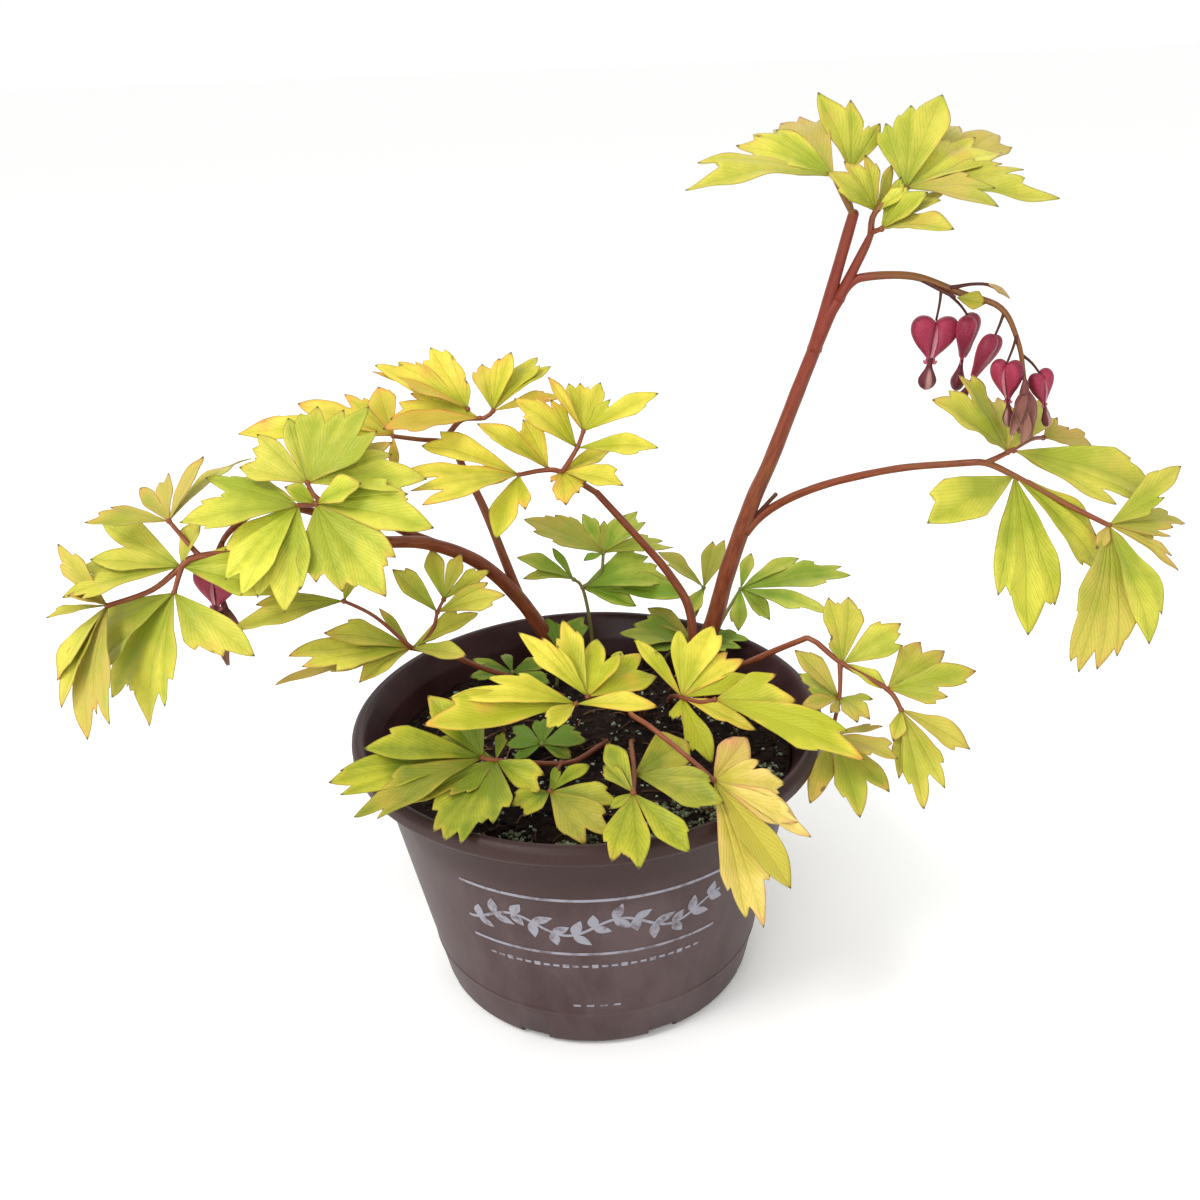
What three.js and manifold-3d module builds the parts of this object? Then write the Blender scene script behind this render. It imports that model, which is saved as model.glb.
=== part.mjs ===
// A gold-leaved bleeding heart growing in an eight-inch nursery pot.
// Millimetres, +Z up, origin at the centre of the pot's underside.
// The pot is a thin moulded shell with a turned-out rim and drainage slots round its foot. It is filled
// with soil, and every stem and leaf stalk stands in a plain hole in that soil.
// A frond is one solid: its stalks with thin lobed leaflets fused to them.

import * as THREE from 'three';
import { mergeVertices } from 'three/addons/utils/BufferGeometryUtils.js';
import Module from 'manifold-3d';

const wasm = await Module();
wasm.setup();

// ---------------------------------------------------------------- driving dimensions

const POT = {
  height: 124,
  rimRadius: 101.5,
  rimHeight: 9,
  rimWidth: 4,
  shoulderRadius: 92.5,
  baseRadius: 71,
  foot: 3,
  wall: 1.6,
  facets: 32,
};
const DRAIN = { slots: 8, width: 13, reach: 9, rise: 5 };
const SOIL = {
  level: 104,
  edgeRise: 1,
  edgeWidth: 6,
  crownRise: 3,
  crownRadius: 45,
  clearance: 0.4,
  facets: 24,
};
// Clear space between two pieces that touch, and how deep the root of a leaflet is sunk in its stalk.
const GAP = 0.3;
const ROOT_DEPTH = 1.2;

// Round pieces: the sides of each, and the longest stretch between two rings.
const STEM = { sides: 8, step: 16 };
const BRANCH = { sides: 6, step: 14 };
const STALK = { sides: 5, step: 14 };

// A leaflet's thickness, the rise of its arch as a share of its length, and the angle that each half is
// folded up.
const BLADE = 0.8;
const ARCH = 0.03;
const FOLD = THREE.MathUtils.degToRad(12);
// A leaflet is one or more lobes that all start at its base. Spread is half the angle of a lobe at the
// base, and a fullness under 1 rounds the lobe out. A notch between two lobes stops short of the base by
// its share of the length.
const FULLNESS = 0.5;
const NOTCH = 0.3;
const PLAIN = [[0, 1]];
// The corners of the outer edges, at shares of the spread. A small leaflet has fewer.
const SMALL_LEAFLET = 50;
const SHOULDERS = { small: [0.62], large: [0.86, 0.44] };

// Half of a bloom's outline, from the notch at its top to the mouth at its foot, as shares of its width
// and height. It is thickest at its middle, and its mouth is a share as thick.
const HEART = [
  [0, 0], [0.15, 0.12], [0.33, 0.12], [0.48, -0.04], [0.48, -0.3], [0.3, -0.62], [0.09, -0.94],
  [0.05, -1],
];
const BLOOM_MIDDLE = -0.38;
const MOUTH_THICKNESS = 0.35;
// Profile of the inner petals, as shares of the bloom's width out and of its height down.
const DROP = [[0.05, -1], [0.08, -1.16], [0.18, -1.48], [0.14, -1.66], [0.05, -1.76]];
const DROP_FACETS = 7;

const COLOUR = {
  pot: 0x5d4b48,
  soil: 0x2b2320,
  stem: 0x96503f,
  lime: 0xb9c63e,
  gold: 0xd6cf45,
  green: 0x86a63a,
  pale: 0xd8cf88,
  pink: 0xa8335a,
  inner: 0x8c3a52,
  faded: 0x8a6260,
  bract: 0xafae3e,
};

// ---------------------------------------------------------------- stems
// Each has its route from the root up, and its radius at each end.

const TALL_STEM = {
  route: [[50, 57, 98], [55, 56, 120], [61, 54, 139], [67, 52, 165], [77, 47, 200], [84, 43, 220],
    [95, 35, 257], [103, 29, 283], [107, 28, 291]],
  radii: [4.8, 2.4],
};
const TALL_BRANCHES = [
  // stalks of the two top fronds and of the drooping one on the right
  { route: [[99, 32, 270], [106, 27, 303], [110, 22, 324]], radii: [2.7, 2.1] },
  { route: [[107, 28, 291], [115, 24, 310], [117, 22, 316]], radii: [2.2, 1.3] },
  { route: [[74, 48, 185], [80, 47, 192], [87, 43, 199], [96, 35, 207], [110, 24, 216], [131, 8, 226],
    [152, -6, 232]], radii: [2.2, 1.4] },
  // a bud in the fork of the drooping frond's stalk
  { route: [[78, 47, 192], [83, 45, 199], [87, 44, 204]], radii: [0.8, 1.0] },
  // the flower stalk, arching over and hanging down
  { route: [[105, 29, 287], [111, 27, 297], [118, 25, 300], [135, 21, 300], [152, 15, 294],
    [166, 9, 289], [172, 3, 277], [171, -11, 266]], radii: [2.1, 0.8] },
  // its side stalk, which runs just under it, and the thread of a fallen bloom
  { route: [[138, 20, 299], [143, 17, 296], [149, 12.6, 293]], radii: [0.8, 0.7] },
  { route: [[148, 16, 296], [155, 14, 297.5], [161, 12, 297.5], [169, 12, 293]], radii: [0.6, 1.0] },
];
const LEFT_STEM = {
  route: [[-7, 72, 98], [-15, 68, 118], [-30, 60, 150], [-47, 50, 174], [-67, 38, 189], [-83, 22, 197]],
  radii: [4.1, 2.6],
};
const LEFT_BRANCHES = [
  { route: [[-30, 60, 150], [-36, 61, 170], [-44, 62, 196], [-52, 61, 217], [-57, 60, 232]],
    radii: [2.4, 1.5] },
  { route: [[-57, 45, 182], [-66, 40, 189], [-77, 36, 196]], radii: [2.2, 1.9] },
  // the left flower stalk, and the thread of its faded bloom
  { route: [[-83, 22, 197], [-101, 26, 205], [-118, 26, 212], [-133, 22, 214], [-145, 16, 208],
    [-150, 11, 202], [-152, 6, 196]], radii: [2.2, 0.9] },
  { route: [[-149, 12, 204], [-150.5, 12, 190], [-152, 9, 178]], radii: [0.6, 0.5] },
];
const MIDDLE_STEM = {
  route: [[46, 45, 98], [50, 46, 122], [49, 50, 146], [40, 54, 163], [27, 55, 180], [8, 54, 204]],
  radii: [2.4, 1.6],
};

// A bract where the flower stalk forks, from its base to its tip.
const BRACT = { at: [149.6, 12.2, 293], tip: [10, -4, -2, 48, PLAIN], face: [0, -80, 50] };

// ---------------------------------------------------------------- blooms
// Each hangs from a point on a thread from its root on the flower stalk. Size is its width, height and
// thickness, and it is turned about the upright and leans by its tilt, in degrees.

const THREAD_RADII = [0.55, 0.45];
const BLOOMS = [
  { name: 'bloom_1', at: [144, 18, 283], root: [145, 18, 296], size: [19, 15.5, 8], turn: 0, tilt: 4 },
  { name: 'bloom_2', at: [156, 14, 284], root: [147.5, 13.8, 293.6], size: [17, 16, 8], turn: 62, tilt: 6 },
  { name: 'bloom_3', at: [164, 8, 277], root: [167, 8, 287], size: [15, 17, 7], turn: 55, tilt: 24 },
  { name: 'bloom_4', at: [165, -7, 271], root: [171.5, 4, 279], size: [13, 14, 7], turn: -50, tilt: -8 },
  { name: 'bloom_5', at: [179, -5, 266], root: [172.5, -1, 273], size: [11, 12, 6], turn: 30, tilt: -14 },
  { name: 'bloom_6', at: [-151.6, 4, 193], root: [-152, 6, 197], size: [17, 13, 8], turn: -12, tilt: 8 },
];
// Faded blooms: bunches of limp petals, each as tip offset from the knot that they hang from.
const KNOT_RADIUS = 1.5;
const FADED = [
  { name: 'faded_bloom_right', at: [170.9, -12.6, 263.4],
    petals: [[-4, -2, -18], [0, -3, -21], [4, -1, -20], [1, 3, -19], [-2, 2, -16]] },
  { name: 'faded_bloom_left', at: [-152, 9, 176],
    petals: [[-4, -3, -14], [-1, -5, -26], [9, -5, -21], [6, -4, -11], [3, 2, -15]] },
];

// ---------------------------------------------------------------- fronds
// Each frond has the way that its leaflets face, its stalks, and its hubs: a point, and the leaflets
// that spread from it. A leaflet has the offset of its tip, its spread, its lobes and its roll, in
// degrees. A lobe has its angle off the midrib, anticlockwise from above, and its share of the length.

const FRONDS = [
  { name: 'frond_top_left', colour: 'lime', face: [0, -60, 80],
    stalks: [
      { route: [[110, 22, 324], [105, 16, 331], [100, 12, 339]], radii: [1.4, 0.9] },
      { route: [[108, 19, 327], [108, 26, 333], [110, 30, 339]], radii: [1, 0.8] },
    ],
    hubs: [
      { at: [100, 12, 339], leaflets: [
        [-55, -17, 3, 11, [[-11, 0.92], [0, 1]], 8],
        [-35, 4, 13, 22, [[-25, 0.76], [-12, 0.85], [0, 1]]],
        [-15, 40, 18, 18, [[-10, 0.94], [0, 1]]],
      ] },
      { at: [110, 30, 339], leaflets: [
        [-12, 10, 28, 28, [[-55, 0.65], [-2, 0.74], [0, 1]]],
      ] },
    ] },
  { name: 'frond_top_right', colour: 'lime', face: [0, -60, 80],
    stalks: [
      { route: [[117, 22, 316], [118, 20, 325], [129, 20, 333]], radii: [1.3, 0.9] },
      { route: [[117, 22, 317], [120, 17, 319]], radii: [0.9, 0.9] },
    ],
    hubs: [
      { at: [129, 20, 333], leaflets: [
        [18, 24, 32, 23, [[0, 1], [16, 0.81], [36, 0.63]]],
        [48, 42, 16, 15, [[-9, 0.93], [0, 1], [13, 0.84]]],
        [41, 18, 10, 16, [[0, 1], [9, 0.64], [15, 0.93]], -10],
        [55, -12, -5, 11, [[0, 1], [17, 0.8], [26, 0.68]], -12],
        [27, -30, -4, 14, [[0, 1], [12, 0.86]]],
      ] },
      { at: [120, 17, 319], leaflets: [
        [20, -26, 3, 25, [[0, 1], [5, 0.58], [43, 0.82]]],
        [14, -11, 14, 33, [[0, 1]]],
      ] },
      { at: [118, 20, 325], leaflets: [
        [-13, -4, 19, 28, [[0, 1]]],
        [11, -4, 9, 33, [[0, 1]]],
      ] },
    ] },
  { name: 'frond_right', colour: 'lime', face: [30, -55, 78],
    stalks: [
      { route: [[152, -6, 232], [160, -10, 233], [171, -12, 228], [188, -18, 219], [205, -25, 211]],
        radii: [1.4, 0.9] },
      { route: [[160, -10, 233], [168, -10, 237], [181, 2, 238], [189, 10, 236]], radii: [1, 0.8] },
    ],
    hubs: [
      { at: [168, -10, 237], leaflets: [
        [-35, -12, 25, 22, [[-29, 0.83], [0, 1]]],
        [3, 25, 17, 19, [[0, 1], [15, 0.87]]],
        [26, 29, 10, 14, [[0, 1], [6, 1]]],
      ] },
      { at: [171, -8, 237], leaflets: [
        [64, 5, -21, 15, [[-21, 0.66], [-10, 0.75], [0, 1], [5, 0.66]], 10],
      ] },
      { at: [189, 10, 236], leaflets: [
        [23, 5, -5, 28, [[0, 1]]],
      ] },
      { at: [171, -12, 228], leaflets: [
        [-40, -29, -5, 25, [[0, 1]]],
        [-1, -37, -50, 16, [[-17, 0.83], [0, 1], [13, 0.86]]],
        [33, -17, -35, 25, [[0, 1], [12, 0.8]]],
      ] },
      { at: [205, -25, 211], leaflets: [
        [33, 17, 17, 14, [[-13, 0.61], [0, 1]]],
        [38, 14, -5, 10, [[-19, 0.63], [-10, 0.68], [0, 1]]],
        [27, -8, -16, 8, [[0, 1], [7, 0.86]]],
        [6, -37, -32, 21, [[0, 1], [13, 0.81]]],
        [-15, -43, -40, 14, [[-11, 1.02], [-7, 1.07], [0, 1], [6, 0.91]]],
        [-8, -11, -5, 28, [[0, 1]]],
      ] },
    ] },
  { name: 'frond_left_star', colour: 'lime', face: [-10, -60, 80],
    stalks: [
      { route: [[-77, 36, 196], [-89, 28, 207], [-101, 16, 216], [-107, 9, 220]], radii: [1.9, 1.3] },
      { route: [[-104, 11, 219], [-108, 10, 224], [-110, 12, 228]], radii: [1, 0.9] },
      { route: [[-107, 9, 220], [-114, 8, 220]], radii: [1, 0.9] },
    ],
    hubs: [
      { at: [-110, 12, 228], leaflets: [
        [-28, 4, 6, 22, [[0, 1]]],
        [3, 24, 26, 21, [[-55, 1], [-21, 0.96], [0, 1]]],
        [48, 6, 0, 21, [[0, 1], [17, 0.76]]],
        [33, 18, 10, 14, [[0, 1]]],
      ] },
      { at: [-107, 9, 220], leaflets: [
        [48, -11, -7, 19, [[0, 1], [17, 0.76], [39, 0.46]]],
        [21, -5, 10, 37, [[0, 1]]],
        [-11, -4, 9, 41, [[0, 1]]],
        [31, -31, -30, 19, [[-32, 0.7], [0, 1], [17, 0.83]]],
      ] },
      { at: [-114, 8, 220], leaflets: [
        [-44, -16, 1, 18, [[-50, 0.59], [-31, 0.85], [0, 1]], 10],
        [-3, -36, -32, 22, [[-16, 0.89], [0, 1], [10, 0.82]]],
        [-27, -28, -20, 23, [[-14, 0.78], [0, 1], [14, 1.04]]],
      ] },
    ] },
  { name: 'frond_left_back', colour: 'gold', face: [-10, -50, 85],
    stalks: [
      { route: [[-56, 60, 228], [-62, 58, 230], [-69, 54, 232], [-79, 47, 236]], radii: [1.2, 0.9] },
    ],
    hubs: [
      { at: [-79, 47, 236], leaflets: [
        [-42, 9, 14, 16, [[-22, 0.65], [0, 1]]],
        [-7, 17, 18, 36, [[0, 1]]],
        [2, -13, -10, 16, [[0, 1]]],
        [-67, 1, 5, 12, [[-4, 0.83], [0, 1]]],
      ] },
    ] },
  { name: 'frond_far_left', colour: 'lime', face: [-45, -40, 80],
    stalks: [
      { route: [[-83, 22, 197], [-105, 14, 200], [-127, 4, 203], [-153, -6, 205], [-160, -9, 202],
        [-172, -13, 194], [-188, -20, 191]], radii: [1.8, 0.9] },
      { route: [[-160, -9, 202], [-163, -14, 193]], radii: [1, 0.9] },
      { route: [[-153, -6, 205], [-158, -4, 211], [-164, -2, 219]], radii: [1, 0.9] },
    ],
    hubs: [
      { at: [-160, -9, 202], leaflets: [
        [-42, -17, -3, 19, [[-18, 0.9], [0, 1]]],
        [-34, -3, 6, 22, [[-27, 1.07], [0, 1]]],
        [40, -3, -13, 28, [[0, 1], [28, 0.71]]],
        [8, 11, 16, 47, [[0, 1]]],
      ] },
      { at: [-163, -14, 193], leaflets: [
        [-10, -30, -43, 19, [[-26, 0.93], [0, 1], [14, 0.87]]],
        [-30, -20, -26, 22, [[-29, 0.88], [0, 1]]],
        [33, -20, -20, 18, [[-16, 0.73], [0, 1]]],
      ] },
      { at: [-164, -2, 219], leaflets: [
        [-29, -10, 4, 18, [[-20, 0.74], [0, 1]]],
        [12, 18, 21, 21, [[0, 1], [37, 0.81], [68, 0.96]]],
        [25, 40, 15, 10, [[0, 1], [5, 0.74]]],
      ] },
      { at: [-188, -20, 191], leaflets: [
        [-16, 4, 25, 14, [[0, 1]]],
        [-11, -8, 9, 47, [[0, 1]]],
        [-19, -14, 2, 14, [[0, 1]]],
        [-17, -22, -22, 28, [[0, 1]]],
        [-14, -30, -29, 18, [[0, 1]]],
        [-6, -36, -40, 15, [[0, 1], [10, 0.84], [20, 0.95]]],
      ] },
    ] },
  { name: 'frond_mid_left', colour: 'gold', face: [0, -50, 86],
    stalks: [
      { route: [[-57, 60, 232], [-50, 58, 239], [-40, 56, 240], [-36, 56, 243]], radii: [1.3, 0.9] },
      { route: [[-50, 58, 239], [-47, 57, 244]], radii: [0.9, 0.9] },
    ],
    hubs: [
      { at: [-47, 57, 244], leaflets: [
        [-37, -7, 23, 16, [[-19, 0.56], [-10, 0.79], [0, 1]]],
        [-39, -11, 21, 8, [[0, 1]]],
        [-16, 15, 24, 22, [[-27, 0.39], [-14, 0.74], [0, 1]]],
      ] },
      { at: [-42, 56, 240], leaflets: [
        [-37, -10, 4, 19, [[-24, 0.81], [0, 1]]],
        [-40, -20, 2, 18, [[0, 1]]],
      ] },
      { at: [-36, 56, 243], leaflets: [
        [-5, 25, 15, 19, [[0, 1]]],
        [9, 18, 21, 19, [[0, 1], [10, 0.86]]],
        [20, 28, 16, 14, [[0, 1]]],
        [26, 23, 14, 11, [[0, 1]]],
        [30, 16, 1, 12, [[-4, 0.72], [0, 1]]],
      ] },
    ] },
  { name: 'frond_mid_right', colour: 'gold', face: [0, -50, 86],
    stalks: [
      { route: [[8, 54, 204], [-7, 52, 215], [-15, 50, 217], [-26, 48, 216]], radii: [1.4, 0.9] },
      { route: [[-7, 52, 215], [0, 52, 226], [3, 53, 233]], radii: [1.1, 0.8] },
    ],
    hubs: [
      { at: [-13, 51, 217], leaflets: [
        [-28, -10, 25, 19, [[0, 1]]],
        [-10, 9, 21, 28, [[0, 1]]],
      ] },
      { at: [-26, 48, 216], leaflets: [
        [-40, -4, 18, 18, [[0, 1]]],
        [-49, -22, 8, 12, [[0, 1], [12, 1.01], [23, 1]]],
        [-10, -24, -20, 28, [[0, 1], [27, 0.59]]],
      ] },
      { at: [0, 52, 226], leaflets: [
        [-25, -2, 24, 21, [[-24, 0.68], [0, 1]]],
        [35, -12, 4, 16, [[0, 1]]],
      ] },
      { at: [3, 53, 233], leaflets: [
        [-1, 17, 17, 25, [[0, 1]]],
        [-14, 3, 24, 14, [[0, 1]]],
        [33, -3, 17, 22, [[0, 1], [26, 0.5]]],
      ] },
      { at: [-7, 52, 215], leaflets: [
        [22, 11, 6, 25, [[0, 1]]],
        [26, -16, -1, 23, [[0, 1]]],
        [1, -18, -9, 34, [[0, 1]]],
      ] },
    ] },
  { name: 'frond_low_left', colour: 'lime', face: [-10, -50, 85],
    stalks: [
      { route: [[-4, 50, 98], [-23, 44, 112], [-48, 26, 133], [-58, 18, 143], [-75, 10, 152]],
        radii: [1.5, 1] },
      { route: [[-72, 11, 151], [-66, 18, 157], [-64, 22, 163], [-61, 24, 168]], radii: [0.9, 0.7] },
      { route: [[-75, 10, 152], [-88, 5, 170], [-99, 0, 180]], radii: [0.9, 0.7] },
    ],
    hubs: [
      { at: [-75, 10, 152], leaflets: [
        [-32, -15, 17, 19, [[-46, 0.55], [0, 1]]],
        [-47, -23, 10, 15, [[0, 1], [9, 0.96]]],
        [-53, -28, 1, 8, [[0, 1]]],
        [-20, -21, -4, 22, [[0, 1]]],
        [28, 19, 7, 16, [[0, 1]]],
        [25, -13, 3, 21, [[0, 1]]],
      ] },
      { at: [-64, 22, 163], leaflets: [
        [-18, 2, 20, 28, [[0, 1]]],
        [31, -10, 12, 21, [[0, 1], [16, 0.79]]],
      ] },
      { at: [-61, 24, 168], leaflets: [
        [-6, 16, 18, 28, [[0, 1]]],
        [21, 8, 10, 18, [[0, 1]]],
      ] },
      { at: [-99, 0, 180], leaflets: [
        [-40, -24, 2, 15, [[-12, 0.77], [0, 1]]],
        [3, 12, 5, 30, [[0, 1]]],
      ] },
    ] },
  { name: 'frond_back', colour: 'green', face: [0, -40, 90],
    stalks: [
      { route: [[4, 78, 98], [2, 83, 127], [-1, 85, 144], [-5, 84, 149]], radii: [1, 0.7] },
      { route: [[-1, 85, 144], [8, 88, 149], [10, 92, 159]], radii: [0.9, 0.7] },
    ],
    hubs: [
      { at: [-5, 84, 149], leaflets: [
        [-27, -4, 15, 25, [[-41, 0.6], [0, 1]]],
        [-24, -12, 8, 14, [[0, 1]]],
      ] },
      { at: [-1, 85, 144], leaflets: [
        [44, -1, 4, 22, [[0, 1], [21, 0.84]]],
        [26, -11, -6, 28, [[0, 1]]],
        [52, -9, -2, 16, [[0, 1]]],
      ] },
      { at: [10, 92, 159], leaflets: [
        [-38, 6, 18, 18, [[-15, 0.73], [0, 1], [11, 0.85]]],
        [-9, 15, 16, 21, [[0, 1]]],
        [1, 12, 13, 19, [[0, 1]]],
        [18, 13, 16, 22, [[0, 1]]],
        [30, 5, 4, 14, [[-10, 1.16], [0, 1]]],
        [-10, -8, 0, 28, [[0, 1]]],
      ] },
    ] },
  { name: 'frond_back_right', colour: 'green', face: [0, -40, 90],
    stalks: [
      { route: [[57, 58, 98], [61, 64, 118], [66, 69, 130], [76, 76, 144]], radii: [1, 0.8] },
    ],
    hubs: [
      { at: [76, 76, 144], leaflets: [
        [52, -6, 8, 11, [[0, 1], [6, 0.94]]],
        [29, 8, 13, 16, [[0, 1]]],
        [39, -22, -4, 15, [[0, 1]]],
        [7, 14, 13, 22, [[0, 1]]],
        [13, -16, -9, 28, [[0, 1]]],
        [-3, -18, -13, 25, [[0, 1]]],
      ] },
    ] },
  { name: 'frond_back_mid', colour: 'green', face: [0, -40, 90],
    stalks: [
      { route: [[42, 72, 98], [47, 75, 114], [51, 77, 124], [56, 80, 133], [59, 86, 141]],
        radii: [0.9, 0.7] },
    ],
    hubs: [
      { at: [59, 86, 141], leaflets: [
        [-23, -9, 24, 21, [[0, 1]]],
        [6, 12, 20, 25, [[0, 1]]],
        [-10, -16, -8, 30, [[0, 1]]],
      ] },
    ] },
  { name: 'frond_back_low', colour: 'green', face: [0, -40, 90],
    stalks: [
      { route: [[33, 76, 98], [41, 75, 111], [52, 72, 119]], radii: [0.9, 0.7] },
    ],
    hubs: [
      { at: [52, 72, 119], leaflets: [
        [-22, 8, 15, 28, [[0, 1]]],
        [-29, -4, 13, 19, [[0, 1], [12, 1.24]]],
        [-27, -14, 4, 28, [[0, 1]]],
        [26, -20, 9, 14, [[-13, 0.99], [0, 1]]],
      ] },
    ] },
  { name: 'frond_front_yellow', colour: 'gold', face: [0, -50, 86],
    stalks: [
      { route: [[19, 36, 98], [15, 10, 121], [8, -12, 136], [1, -25, 144]], radii: [1.4, 0.9] },
    ],
    hubs: [
      { at: [1, -25, 144], leaflets: [
        [-27, 9, 27, 12, [[-15, 0.63], [-8, 0.78], [0, 1]]],
        [-10, 27, 22, 15, [[0, 1]]],
        [5, 25, 15, 23, [[-27, 0.83], [0, 1]]],
        [29, 17, -1, 23, [[0, 0.64], [0, 1], [21, 1.04]]],
      ] },
      { at: [-4, -27, 142], leaflets: [
        [33, -7, 1, 16, [[0, 1]]],
        [-48, -17, 17, 11, [[-10, 0.73], [0, 1]]],
        [-58, -33, 10, 14, [[-9, 0.61], [0, 1]]],
        [-11, -19, 1, 28, [[0, 1]]],
      ] },
    ] },
  { name: 'frond_front_left', colour: 'lime', face: [-10, -50, 86],
    stalks: [
      { route: [[12, 19, 98], [5, -8, 110], [-6, -26, 114], [-17, -38, 121], [-36, -50, 131],
        [-42, -51, 133]], radii: [1.3, 0.9] },
      { route: [[-11, -31, 117], [-14, -50, 121], [-15, -60, 122]], radii: [0.9, 0.7] },
    ],
    hubs: [
      { at: [-41, -51, 133], leaflets: [
        [-43, -15, 16, 16, [[0, 1]]],
        [-53, -29, 11, 14, [[-4, 0.92], [0, 1], [6, 0.97]]],
        [-44, -43, 2, 11, [[0, 1], [1, 0.74], [5, 0.92]]],
        [-21, 13, 23, 28, [[-27, 0.66], [0, 1]]],
      ] },
      { at: [-36, -50, 131], leaflets: [
        [-16, -46, -5, 15, [[-6, 0.99], [0, 1], [20, 0.83]]],
        [-33, -34, 2, 14, [[0, 1], [12, 0.68]]],
        [18, -16, -5, 28, [[0, 1]]],
        [-24, 4, 9, 23, [[0, 1]]],
      ] },
      { at: [-15, -60, 122], leaflets: [
        [16, 14, 3, 22, [[0, 1]]],
        [26, -13, 3, 21, [[0, 1]]],
        [13, -29, -4, 18, [[0, 1], [17, 1.14]]],
        [-14, -14, 4, 29, [[0, 1]]],
      ] },
    ] },
  { name: 'frond_front_gold', colour: 'gold', face: [0, -50, 86],
    stalks: [
      { route: [[38, 46, 98], [38, 15, 120], [40, -18, 138]], radii: [1.3, 0.9] },
      { route: [[40, -18, 138], [47, -24, 139], [53, -26, 141]], radii: [0.9, 0.9] },
    ],
    hubs: [
      { at: [40, -18, 138], leaflets: [
        [-18, 13, 22, 14, [[-6, 0.67], [0, 1]]],
        [16, 25, 21, 22, [[0, 1], [25, 0.84]]],
        [27, 13, 11, 18, [[0, 1], [12, 0.91]]],
        [28, -24, -3, 11, [[0, 1]]],
        [10, -28, -15, 19, [[-40, 0.38], [-11, 0.55], [0, 1]]],
        [34, 4, 5, 19, [[0, 1]]],
      ] },
      { at: [53, -26, 141], leaflets: [
        [32, -10, 3, 25, [[0, 1], [26, 0.81]]],
        [53, -40, -5, 12, [[0, 1], [8, 0.84]]],
      ] },
    ] },
  { name: 'frond_front_low', colour: 'lime', face: [0, -60, 80],
    stalks: [
      { route: [[21, 14, 98], [18, -36, 128], [18, -66, 135], [17, -84, 136]], radii: [1.1, 0.9] },
    ],
    hubs: [
      { at: [17, -84, 136], leaflets: [
        [-9, 22, 9, 25, [[0, 1]]],
        [-11, 12, 5, 25, [[0, 1]]],
        [1, -32, -11, 19, [[-18, 0.95], [0, 1]]],
        [19, -26, -9, 22, [[0, 1]]],
        [-9, -8, -1, 23, [[0, 1]]],
      ] },
      { at: [18, -70, 135], leaflets: [
        [32, -21, 0, 21, [[0, 1], [12, 0.83]]],
        [22, 21, 1, 37, [[0, 1]]],
      ] },
    ] },
  { name: 'frond_front_pale', colour: 'pale', face: [25, -65, 72],
    stalks: [
      { route: [[27, 29, 98], [22, 0, 126], [18, -36, 142], [25, -52, 145], [39, -70, 141],
        [47, -79, 137]], radii: [1.1, 0.9] },
    ],
    hubs: [
      { at: [47, -79, 137], leaflets: [
        [16, 21, 6, 30, [[0, 1]]],
        [27, 4, -5, 19, [[0, 1]]],
        [31, -9, -14, 22, [[0, 1]]],
        [36, -13, -18, 10, [[0, 1]]],
        [26, -22, -33, 16, [[0, 1], [2, 0.79]]],
        [10, -28, -42, 12, [[0, 1], [6, 1.08]]],
      ] },
    ] },
  { name: 'frond_low_right', colour: 'lime', face: [20, -50, 84],
    stalks: [
      { route: [[54, 42, 98], [61, 24, 124], [78, 6, 144], [91, -5, 156], [94, -7, 158],
        [97, -9, 157], [107, -16, 150], [123, -28, 144], [128, -33, 137]], radii: [1.5, 0.9] },
      { route: [[106, -16, 150], [105, -22, 137], [101, -28, 123]], radii: [0.9, 0.8] },
    ],
    hubs: [
      { at: [107, -16, 150], leaflets: [
        [7, 25, 19, 26, [[0, 1], [19, 0.96], [38, 0.37]]],
        [25, 5, 15, 21, [[-20, 0.88], [0, 1]]],
        [17, -10, -7, 28, [[0, 1]]],
      ] },
      { at: [123, -28, 144], leaflets: [
        [17, 16, 13, 22, [[0, 1]]],
        [35, -2, 9, 19, [[-26, 0.69], [0, 1]]],
      ] },
      { at: [128, -33, 137], leaflets: [
        [24, -19, -7, 23, [[0, 1]]],
        [4, -29, -30, 14, [[0, 1], [16, 0.86]]],
        [-5, -11, -8, 33, [[0, 1]]],
        [-3, -17, -22, 14, [[0, 1]]],
      ] },
      { at: [105, -22, 137], leaflets: [
        [-14, 19, 3, 30, [[0, 1]]],
        [-16, 16, 15, 28, [[0, 1]]],
        [-18, -12, 4, 23, [[0, 1]]],
        [9, -17, 0, 28, [[0, 1]]],
      ] },
      { at: [101, -28, 123], leaflets: [
        [22, -26, 4, 14, [[0, 1], [31, 0.64]]],
        [5, -38, -15, 22, [[0, 1], [24, 0.84]]],
        [-13, -30, -12, 16, [[0, 1], [6, 0.79]]],
      ] },
    ] },
  { name: 'shoot_left', colour: 'green', face: [0, -30, 95],
    stalks: [
      { route: [[-34, 48, 98], [-35, 44, 120]], radii: [0.9, 0.7] },
    ],
    hubs: [
      { at: [-35, 44, 120], leaflets: [
        [-19, 9, 3, 16, [[0, 1]]],
        [-20, -6, 1, 22, [[0, 1]]],
        [-4, 13, 4, 28, [[0, 1]]],
        [16, 5, 1, 25, [[0, 1]]],
        [18, -8, -3, 23, [[0, 1]]],
      ] },
    ] },
  { name: 'shoot_centre', colour: 'green', face: [0, -30, 95],
    stalks: [
      { route: [[-20, 4, 98], [-20, -8, 112]], radii: [0.9, 0.7] },
    ],
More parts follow.
